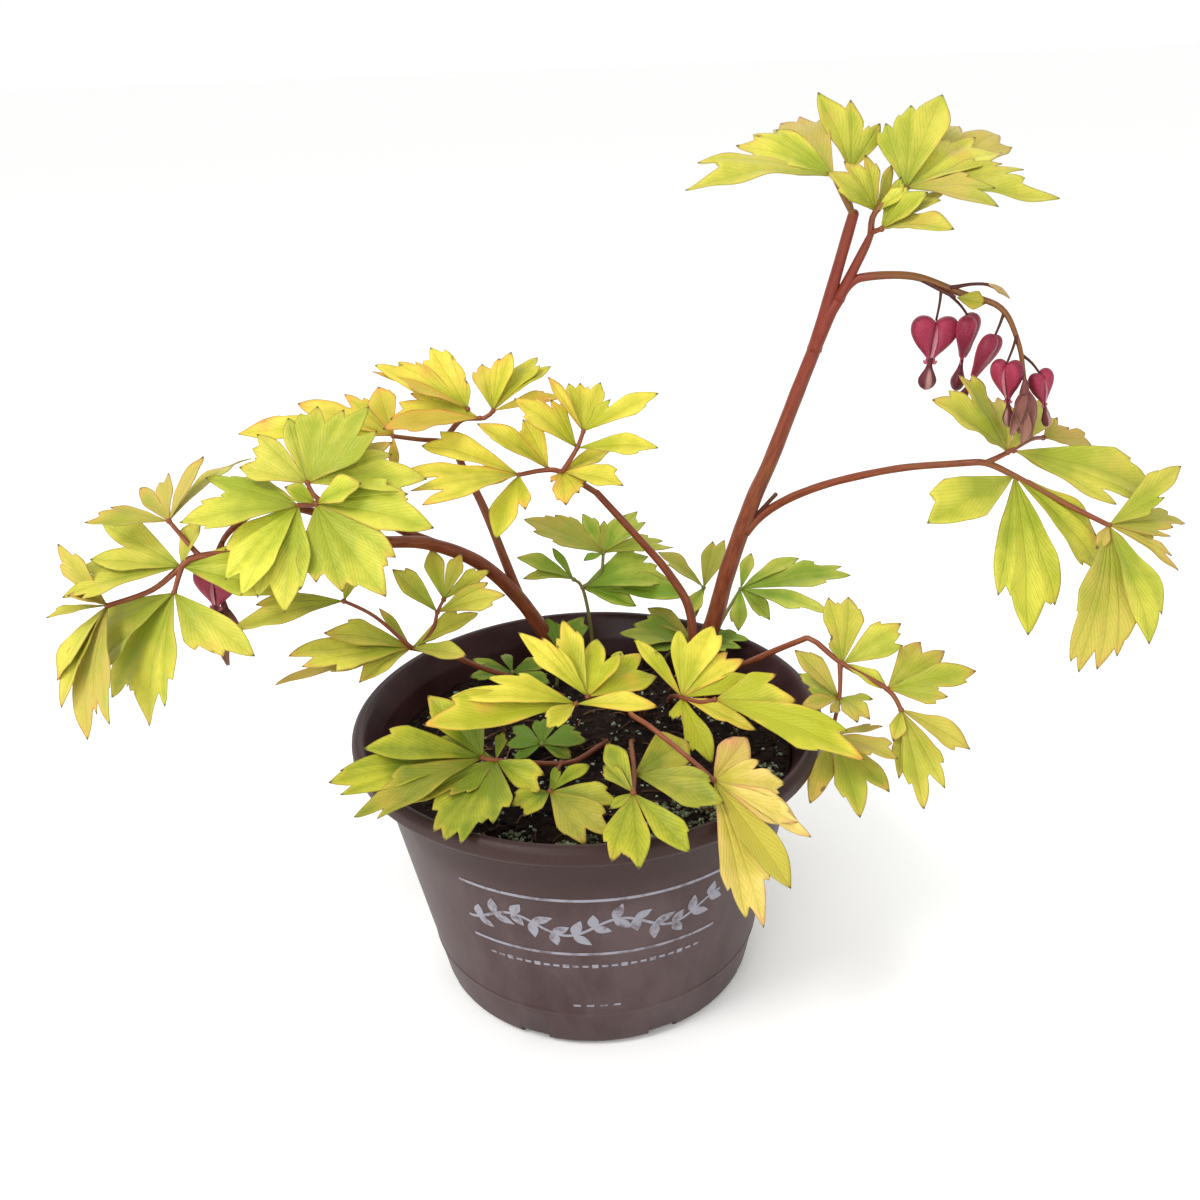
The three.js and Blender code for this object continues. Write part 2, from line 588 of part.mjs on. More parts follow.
    hubs: [
      { at: [-20, -8, 112], leaflets: [
        [-16, 0, 0, 36, [[0, 1]]],
        [-12, -8, -3, 28, [[0, 1]]],
        [4, 15, 5, 30, [[0, 1]]],
        [20, -5, 4, 30, [[0, 1]]],
        [13, -9, -3, 30, [[0, 1]]],
      ] },
    ] },
  { name: 'shoot_back', colour: 'green', face: [0, -30, 95],
    stalks: [
      { route: [[-16, 58, 98], [-13, 60, 122]], radii: [0.9, 0.7] },
    ],
    hubs: [
      { at: [-13, 60, 122], leaflets: [
        [-6, 8, 15, 28, [[0, 1]]],
        [12, 12, 13, 30, [[0, 1]]],
      ] },
    ] },
];

// ---------------------------------------------------------------- solids

const vector = ([x, y, z]) => new THREE.Vector3(x, y, z);

function solidOf(geometry) {
  const bare = geometry.clone();
  bare.deleteAttribute('normal');
  bare.deleteAttribute('uv');
  const welded = mergeVertices(bare, 1e-4);
  return new wasm.Manifold(new wasm.Mesh({
    numProp: 3,
    vertProperties: new Float32Array(welded.attributes.position.array),
    triVerts: new Uint32Array(welded.index.array),
  }));
}

function solidFrom(points, triangles) {
  const geometry = new THREE.BufferGeometry().setFromPoints(points);
  geometry.setIndex(triangles.flat());
  return solidOf(geometry);
}

const join = (solids) => wasm.Manifold.union(solids);

// The largest body, where a cut has left a scrap beside it.
const mainBody = (solid) => solid.decompose().sort((a, b) => b.volume() - a.volume())[0];

function meshOf(name, solid, colour, roughness) {
  const { vertProperties, triVerts } = solid.getMesh();
  const geometry = new THREE.BufferGeometry();
  geometry.setAttribute('position', new THREE.BufferAttribute(vertProperties, 3));
  geometry.setIndex(new THREE.BufferAttribute(triVerts, 1));
  geometry.computeVertexNormals();
  const material = new THREE.MeshStandardMaterial({ color: colour, roughness, metalness: 0 });
  const mesh = new THREE.Mesh(geometry, material);
  mesh.name = name;
  return mesh;
}

// A smooth curve through every point of a route, as its centre and direction at each ring.
function ringsAlong(route, longest) {
  const stops = route.map(vector);
  const curve = new THREE.CatmullRomCurve3(stops, false, 'catmullrom', 0.5);
  const spans = stops.length - 1;
  const places = [0];
  for (let i = 0; i < spans; i += 1) {
    const parts = Math.max(1, Math.round(stops[i].distanceTo(stops[i + 1]) / longest));
    for (let k = 1; k <= parts; k += 1) places.push((i + k / parts) / spans);
  }
  return places.map((place) => ({ place, centre: curve.getPoint(place), along: curve.getTangent(place) }));
}

// A tapering tube along a route, closed by flat ends.
function sweep({ route, radii: [first, last] }, { sides, step }, extra = 0) {
  const rings = ringsAlong(route, step);
  const points = [];
  const normal = new THREE.Vector3(1, 0.2, 0.1);
  for (const { place, centre, along } of rings) {
    normal.projectOnPlane(along).normalize();
    const binormal = along.clone().cross(normal);
    const radius = first + (last - first) * place + extra;
    for (let k = 0; k < sides; k += 1) {
      const angle = (2 * Math.PI * k) / sides;
      const spoke = normal.clone().multiplyScalar(Math.cos(angle))
        .addScaledVector(binormal, Math.sin(angle));
      points.push(centre.clone().addScaledVector(spoke, radius));
    }
  }
  const end = (rings.length - 1) * sides;
  const triangles = [];
  for (let k = 2; k < sides; k += 1) triangles.push([0, k, k - 1], [end, end + k - 1, end + k]);
  for (let ring = 0; ring < end; ring += sides) {
    for (let k = 0; k < sides; k += 1) {
      const a = ring + k;
      const b = ring + ((k + 1) % sides);
      triangles.push([a, b, b + sides], [a, b + sides, a + sides]);
    }
  }
  return solidFrom(points, triangles);
}

// A stalk runs a little past its last point, so that the roots of its leaflets are sunk in its end.
function reachPast({ route, radii }) {
  const [before, end] = route.slice(-2).map(vector);
  const tip = end.clone().add(end.clone().sub(before).setLength(ROOT_DEPTH));
  return { route: [...route, tip.toArray()], radii };
}

// The rays of a leaflet's outline: the tips of its lobes, the notches between them and its shoulders, as
// angle and length from the base.
function outlineRays(spread, lobes, shoulders) {
  const reach = (angle) => Math.max(...lobes.map(([at, length]) => (
    length * Math.max(0, 1 - Math.abs(angle - at) / spread) ** FULLNESS)));
  const tips = lobes.map(([at]) => at);
  const angles = shoulders.map((share) => tips[0] - share * spread);
  tips.forEach((at, i) => {
    if (i > 0) angles.push((at + tips[i - 1]) / 2);
    angles.push(at);
  });
  angles.push(...shoulders.map((share) => tips.at(-1) + share * spread).reverse());
  return angles.map((angle) => [THREE.MathUtils.degToRad(angle), Math.max(NOTCH, reach(angle))]);
}

// A thin blade from its base to its tip, folded up a little along the midrib and arched.
function leaflet(at, [dx, dy, dz, spread, lobes, roll = 0], face) {
  const base = vector(at);
  const along = new THREE.Vector3(dx, dy, dz);
  const length = along.length();
  along.normalize();
  const normal = vector(face).projectOnPlane(along).normalize()
    .applyAxisAngle(along, THREE.MathUtils.degToRad(roll));
  const across = normal.clone().cross(along);
  const spot = (angle, reach, side) => {
    const t = reach * Math.cos(angle);
    const v = reach * Math.sin(angle);
    const lift = 4 * ARCH * t * (1 - t) + Math.abs(v) * Math.sin(FOLD);
    return base.clone().addScaledVector(along, length * t)
      .addScaledVector(across, length * v * Math.cos(FOLD))
      .addScaledVector(normal, length * lift + side * (BLADE / 2));
  };
  const rays = outlineRays(spread, lobes, length < SMALL_LEAFLET ? SHOULDERS.small : SHOULDERS.large);
  const count = rays.length;
  const points = [];
  for (const side of [1, -1]) {
    points.push(spot(0, 0, side), ...rays.map(([angle, reach]) => spot(angle, reach, side)));
  }
  const under = count + 1;
  const triangles = [];
  const bothSides = (a, b, c) => triangles.push([a, b, c], [a + under, c + under, b + under]);
  const wall = (a, b) => triangles.push([b, a, a + under], [b, a + under, b + under]);
  for (let i = 1; i < count; i += 1) {
    bothSides(0, i, i + 1);
    wall(i, i + 1);
  }
  wall(0, 1);
  wall(count, 0);
  return solidFrom(points, triangles);
}

// ---------------------------------------------------------------- the pot and its soil

const turned = (profile, facets) => solidOf(new THREE.LatheGeometry(
  profile.map(([r, z]) => new THREE.Vector2(r, z)), facets).rotateX(Math.PI / 2));

function potBody() {
  const { height, rimRadius, rimHeight, rimWidth, shoulderRadius, baseRadius, foot, wall, facets } = POT;
  const lip = height - rimHeight;
  const bevel = 2;
  const shell = turned([
    [0, 0], [baseRadius - foot, 0], [baseRadius, foot],
    [shoulderRadius, lip], [rimRadius - bevel, lip], [rimRadius, lip + bevel],
    [rimRadius, height - bevel], [rimRadius - bevel, height], [rimRadius - rimWidth, height],
    [rimRadius - rimWidth - wall, height - wall], [shoulderRadius - wall, lip - wall],
    [baseRadius - wall, foot + wall], [baseRadius - foot - wall, wall], [0, wall],
  ], facets);
  const slots = Array.from({ length: DRAIN.slots }, (_, i) => {
    const turn = (2 * Math.PI * (i + 0.5)) / DRAIN.slots;
    const cutter = new THREE.BoxGeometry(2 * DRAIN.reach, DRAIN.width, 2 * DRAIN.rise);
    return solidOf(cutter.translate(baseRadius, 0, 0).rotateZ(turn));
  });
  return shell.subtract(join(slots));
}

// The soil fills the pot to its level, banks up a little at the crown and has a hole for each stalk.
function soilBody(rooted) {
  const { level, edgeRise, edgeWidth, crownRise, crownRadius, clearance, facets } = SOIL;
  const { height, rimHeight, shoulderRadius, baseRadius, foot, wall } = POT;
  const inset = wall + clearance;
  const slope = (shoulderRadius - baseRadius) / (height - rimHeight - foot);
  const edge = baseRadius - inset + slope * (level - foot - wall);
  const ground = turned([
    [0, inset], [baseRadius - foot - inset, inset], [baseRadius - inset, foot + inset], [edge, level],
    [edge - edgeWidth, level + edgeRise], [crownRadius, level + 2 * edgeRise],
    [crownRadius / 2, level + crownRise], [0, level + crownRise],
  ], facets);
  return mainBody(ground.subtract(join(rooted.map(({ stalk, style }) => sweep(stalk, style, GAP)))));
}

// ---------------------------------------------------------------- solids of the blooms

// Where a bloom stands: it hangs from its notch, leans by its tilt and turns about the upright.
function bloomMatrix({ at, turn, tilt }) {
  const { degToRad } = THREE.MathUtils;
  return new THREE.Matrix4().makeTranslation(...at)
    .multiply(new THREE.Matrix4().makeRotationY(degToRad(tilt)))
    .multiply(new THREE.Matrix4().makeRotationZ(degToRad(turn)));
}

// The two outer petals: a flattened heart-shaped pouch with a turned-up tip on each side of its mouth.
function pouch({ size: [width, height, depth] }) {
  const right = HEART.map(([x, z]) => [x * width, z * height]);
  const left = right.slice(1).reverse().map(([x, z]) => [-x, z]);
  const outline = [...right, ...left];
  const count = outline.length;
  const middle = BLOOM_MIDDLE * height;
  const swell = depth / 2;
  const points = [];
  // A ring is the outline drawn in towards the middle and moved out by a share of the swell.
  const ringAt = (share, bulge) => {
    const start = points.length;
    for (const [x, z] of outline) {
      const fullness = Math.min(1, (z + height) / (0.6 * height));
      const thick = MOUTH_THICKNESS + (1 - MOUTH_THICKNESS) * fullness;
      points.push(new THREE.Vector3(x * share, bulge * swell * thick, middle + (z - middle) * share));
    }
    return start;
  };
  const edge = ringAt(1, 0);
  const near = ringAt(0.7, -0.75);
  const far = ringAt(0.7, 0.75);
  const front = points.push(new THREE.Vector3(0, -swell, middle)) - 1;
  const back = points.push(new THREE.Vector3(0, swell, middle)) - 1;
  const triangles = [];
  for (let i = 0; i < count; i += 1) {
    const j = (i + 1) % count;
    triangles.push([edge + i, near + i, near + j], [edge + i, near + j, edge + j]);
    triangles.push([edge + i, far + j, far + i], [edge + i, edge + j, far + j]);
    triangles.push([near + i, front, near + j], [far + i, far + j, back]);
  }
  const tips = [-1, 1].map((side) => leaflet([side * 0.02 * width, 0, -0.95 * height],
    [side * 0.22 * width, 0, 0.04 * height, 29, PLAIN], [-side * 30, -40, 80]));
  return join([solidFrom(points, triangles), ...tips]);
}

function innerPetals({ size: [width, height] }) {
  const profile = DROP.map(([r, z]) => [r * width, z * height - GAP]);
  const top = profile[0][1];
  const foot = profile.at(-1)[1];
  return turned([[0, foot], ...profile.reverse(), [0, top]], DROP_FACETS);
}

function fadedPetals({ at, petals }) {
  const knot = solidOf(new THREE.IcosahedronGeometry(KNOT_RADIUS, 0).translate(...at));
  const limp = petals.map(([dx, dy, dz]) => leaflet(at, [dx, dy, dz, 15, PLAIN], [dx, dy, 0]));
  return join([knot, ...limp]);
}

// ---------------------------------------------------------------- assembly

const plant = new THREE.Group();
plant.name = 'bleeding_heart_plant';

const threads = BLOOMS.map(({ at: [x, y, z], root }) => ({
  route: [root, [x, y, z + GAP + 0.1]], radii: THREAD_RADII,
}));
const isLeft = ({ route: [[x]] }) => x < 0;
const stems = [
  { name: 'stem_tall', stem: TALL_STEM, style: STEM, branches: TALL_BRANCHES,
    threads: threads.filter((thread) => !isLeft(thread)) },
  { name: 'stem_left', stem: LEFT_STEM, style: STEM, branches: LEFT_BRANCHES,
    threads: threads.filter(isLeft) },
  { name: 'stem_middle', stem: MIDDLE_STEM, style: BRANCH, branches: [], threads: [] },
];
const stemSolids = ({ stem, style, branches }, extra) => [
  sweep(stem, style, extra), ...branches.map((branch) => sweep(branch, BRANCH, extra)),
];

const rooted = [
  ...stems.map(({ stem, style }) => ({ stalk: stem, style })),
  ...FRONDS.map(({ stalks: [stalk] }) => ({ stalk, style: STALK }))
    .filter(({ stalk }) => stalk.route[0][2] < SOIL.level),
];
plant.add(meshOf('pot', potBody(), COLOUR.pot, 0.6));
plant.add(meshOf('soil', soilBody(rooted), COLOUR.soil, 1));

for (const stem of stems) {
  const fused = [...stemSolids(stem, 0), ...stem.threads.map((thread) => sweep(thread, STALK))];
  plant.add(meshOf(stem.name, join(fused), COLOUR.stem, 0.55));
}

// A frond that grows on a stem starts clear of it.
const stemRoom = join(stems.flatMap((stem) => stemSolids(stem, GAP)));
for (const { name, colour, face, stalks, hubs } of FRONDS) {
  const parts = stalks.map((stalk) => sweep(reachPast(stalk), STALK));
  for (const { at, leaflets } of hubs) parts.push(...leaflets.map((leaf) => leaflet(at, leaf, face)));
  plant.add(meshOf(name, mainBody(join(parts).subtract(stemRoom)), COLOUR[colour], 0.6));
}

for (const bloom of BLOOMS) {
  const place = bloomMatrix(bloom).elements;
  plant.add(meshOf(bloom.name, pouch(bloom).transform(place), COLOUR.pink, 0.5));
  plant.add(meshOf(`${bloom.name}_inner`, innerPetals(bloom).transform(place), COLOUR.inner, 0.5));
}
for (const faded of FADED) plant.add(meshOf(faded.name, fadedPetals(faded), COLOUR.faded, 0.7));
plant.add(meshOf('bract', leaflet(BRACT.at, BRACT.tip, BRACT.face), COLOUR.bract, 0.6));

export default plant;
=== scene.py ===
"""A gold-leaved bleeding heart in its nursery pot.

Leaves, stems, blooms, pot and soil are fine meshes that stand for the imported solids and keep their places.
Lengths in the tables are millimetres in the part's frame: +Z up, origin under the middle of the pot.
"""
import functools
import math

import bmesh
import bpy
import numpy as np
from mathutils import Matrix, Vector, noise


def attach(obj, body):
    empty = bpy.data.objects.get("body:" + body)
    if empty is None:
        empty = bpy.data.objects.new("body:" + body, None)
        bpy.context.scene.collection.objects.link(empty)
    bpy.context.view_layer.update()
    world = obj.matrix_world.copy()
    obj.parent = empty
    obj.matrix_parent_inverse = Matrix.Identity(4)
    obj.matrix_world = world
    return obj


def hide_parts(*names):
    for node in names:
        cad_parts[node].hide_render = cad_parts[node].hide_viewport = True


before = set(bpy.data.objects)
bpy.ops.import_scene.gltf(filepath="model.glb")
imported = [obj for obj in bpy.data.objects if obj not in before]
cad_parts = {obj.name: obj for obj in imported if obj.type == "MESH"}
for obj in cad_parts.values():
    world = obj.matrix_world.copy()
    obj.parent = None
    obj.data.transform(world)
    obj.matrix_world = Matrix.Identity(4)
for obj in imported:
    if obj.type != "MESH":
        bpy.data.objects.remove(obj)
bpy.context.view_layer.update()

MM = 0.001
FULL_TURN = 6.28

# ---------------------------------------------------------------- camera

# The focal length and the sensor's width, in millimetres.
FOCAL_LENGTH = 36.0
SENSOR = 36.0
CAMERA_AT = (7.5, -455.16, 385.35)
CAMERA_PITCH = math.radians(24.7)
CAMERA_ROLL = math.radians(-2.2)

# ---------------------------------------------------------------- layout

POT = dict(height=124, rim=101.5, rim_height=9, rim_width=4, shoulder=92.5, base=71, foot=3, wall=1.6)
DRAIN = dict(slots=8, width=13, reach=9, rise=5)
SOIL = dict(level=104, crown=3, clearance=0.4)
# Facets round the pot and round the soil, rings from the soil's middle to its edge, the height of the ring
# half way down its side, and how far out loose bits lie.
POT_SEGMENTS = 216
SOIL_SEGMENTS, SOIL_RINGS = 168, 64
SOIL_WAIST = 60
SOIL_REACH = 86

# Stems: the route and the radius at each end.
STEMS = dict(
    stem_tall=[
        ([(50, 57, 98), (55, 56, 120), (61, 54, 139), (67, 52, 165), (77, 47, 200), (84, 43, 220),
          (95, 35, 257), (103, 29, 283), (107, 28, 291)], (4.8, 2.4)),
        ([(99, 32, 270), (106, 27, 303), (110, 22, 324)], (2.7, 2.1)),
        ([(107, 28, 291), (115, 24, 310), (117, 22, 316)], (2.2, 1.3)),
        ([(74, 48, 185), (80, 47, 192), (87, 43, 199), (96, 35, 207), (110, 24, 216), (131, 8, 226),
          (152, -6, 232)], (2.2, 1.4)),
        ([(78, 47, 192), (83, 45, 199), (87, 44, 204)], (0.8, 1.0)),
        ([(105, 29, 287), (111, 27, 297), (118, 25, 300), (135, 21, 300), (152, 15, 294), (166, 9, 289),
          (172, 3, 277), (171, -11, 266)], (2.1, 0.8)),
        ([(138, 20, 299), (143, 17, 296), (149, 12.6, 293)], (0.8, 0.7)),
        ([(148, 16, 296), (155, 14, 297.5), (161, 12, 297.5), (166, 12, 295)], (0.6, 0.6)),
    ],
    stem_left=[
        ([(-7, 72, 98), (-15, 68, 118), (-30, 60, 150), (-47, 50, 174), (-67, 38, 189), (-83, 22, 197)],
         (4.1, 2.6)),
        ([(-30, 60, 150), (-36, 61, 170), (-44, 62, 196), (-52, 61, 217), (-57, 60, 232)], (2.4, 1.5)),
        ([(-57, 45, 182), (-66, 40, 189), (-77, 36, 196)], (2.2, 1.9)),
        ([(-83, 22, 197), (-101, 26, 205), (-118, 26, 212), (-133, 22, 214), (-145, 16, 208),
          (-150, 11, 202), (-152, 6, 196)], (2.2, 0.9)),
        ([(-149, 12, 204), (-150.5, 12, 190), (-152, 9, 178)], (0.6, 0.5)),
    ],
    stem_middle=[
        ([(46, 45, 98), (50, 46, 122), (49, 50, 146), (40, 54, 163), (27, 55, 180), (8, 54, 204)],
         (2.4, 1.6)),
    ],
)

# Blooms: where each hangs from, its thread's root, its width, height and depth, its turn and its lean.
THREAD = (0.55, 0.45)
BLOOMS = [
    dict(name="bloom_1", stem="stem_tall", at=(144, 18, 283), root=(145, 18, 296), size=(19, 15.5, 8),
         turn=0, tilt=4),
    dict(name="bloom_2", stem="stem_tall", at=(156, 14, 284), root=(147.5, 13.8, 293.6), size=(17, 16, 8),
         turn=62, tilt=6),
    dict(name="bloom_3", stem="stem_tall", at=(164, 8, 277), root=(167, 8, 287), size=(15, 17, 7),
         turn=55, tilt=24),
    dict(name="bloom_4", stem="stem_tall", at=(165, -7, 271), root=(171.5, 4, 279), size=(13, 14, 7),
         turn=-50, tilt=-8),
    dict(name="bloom_5", stem="stem_tall", at=(179, -5, 266), root=(172.5, -1, 273), size=(11, 12, 6),
         turn=30, tilt=-14),
    dict(name="bloom_6", stem="stem_left", at=(-151.6, 4, 193), root=(-152, 6, 197), size=(19, 15, 8),
         turn=-12, tilt=8),
]
# Withered blooms: where each hangs from, and its petals' tips from there.
FADED = [
    dict(name="faded_bloom_right", at=(170.9, -12.6, 263.4),
         petals=[(-4, -2, -18), (0, -3, -21), (4, -1, -20), (1, 3, -19), (-2, 2, -16)]),
    dict(name="faded_bloom_left", at=(-152, 9, 176),
         petals=[(-4, -3, -14), (-1, -5, -26), (9, -5, -21), (6, -4, -11), (3, 2, -15)]),
]
# The dry husk at the end of the spent stalk, thicker in the middle.
HUSK = [
    ([(161, 12, 297.5), (164, 12, 296.5), (166, 12, 295.2)], (0.6, 1.3)),
    ([(166, 12, 295.2), (168, 12, 293.8), (170, 12, 292)], (1.3, 0.3)),
]
# The bract at the fork of the flower stalk: where it grows, its row as a leaflet's below, and its face.
BRACT = dict(at=(149.6, 12.2, 293), tip=(10, -4, -2, 0.36, [], 0.3, 0), face=(0, -80, 50))

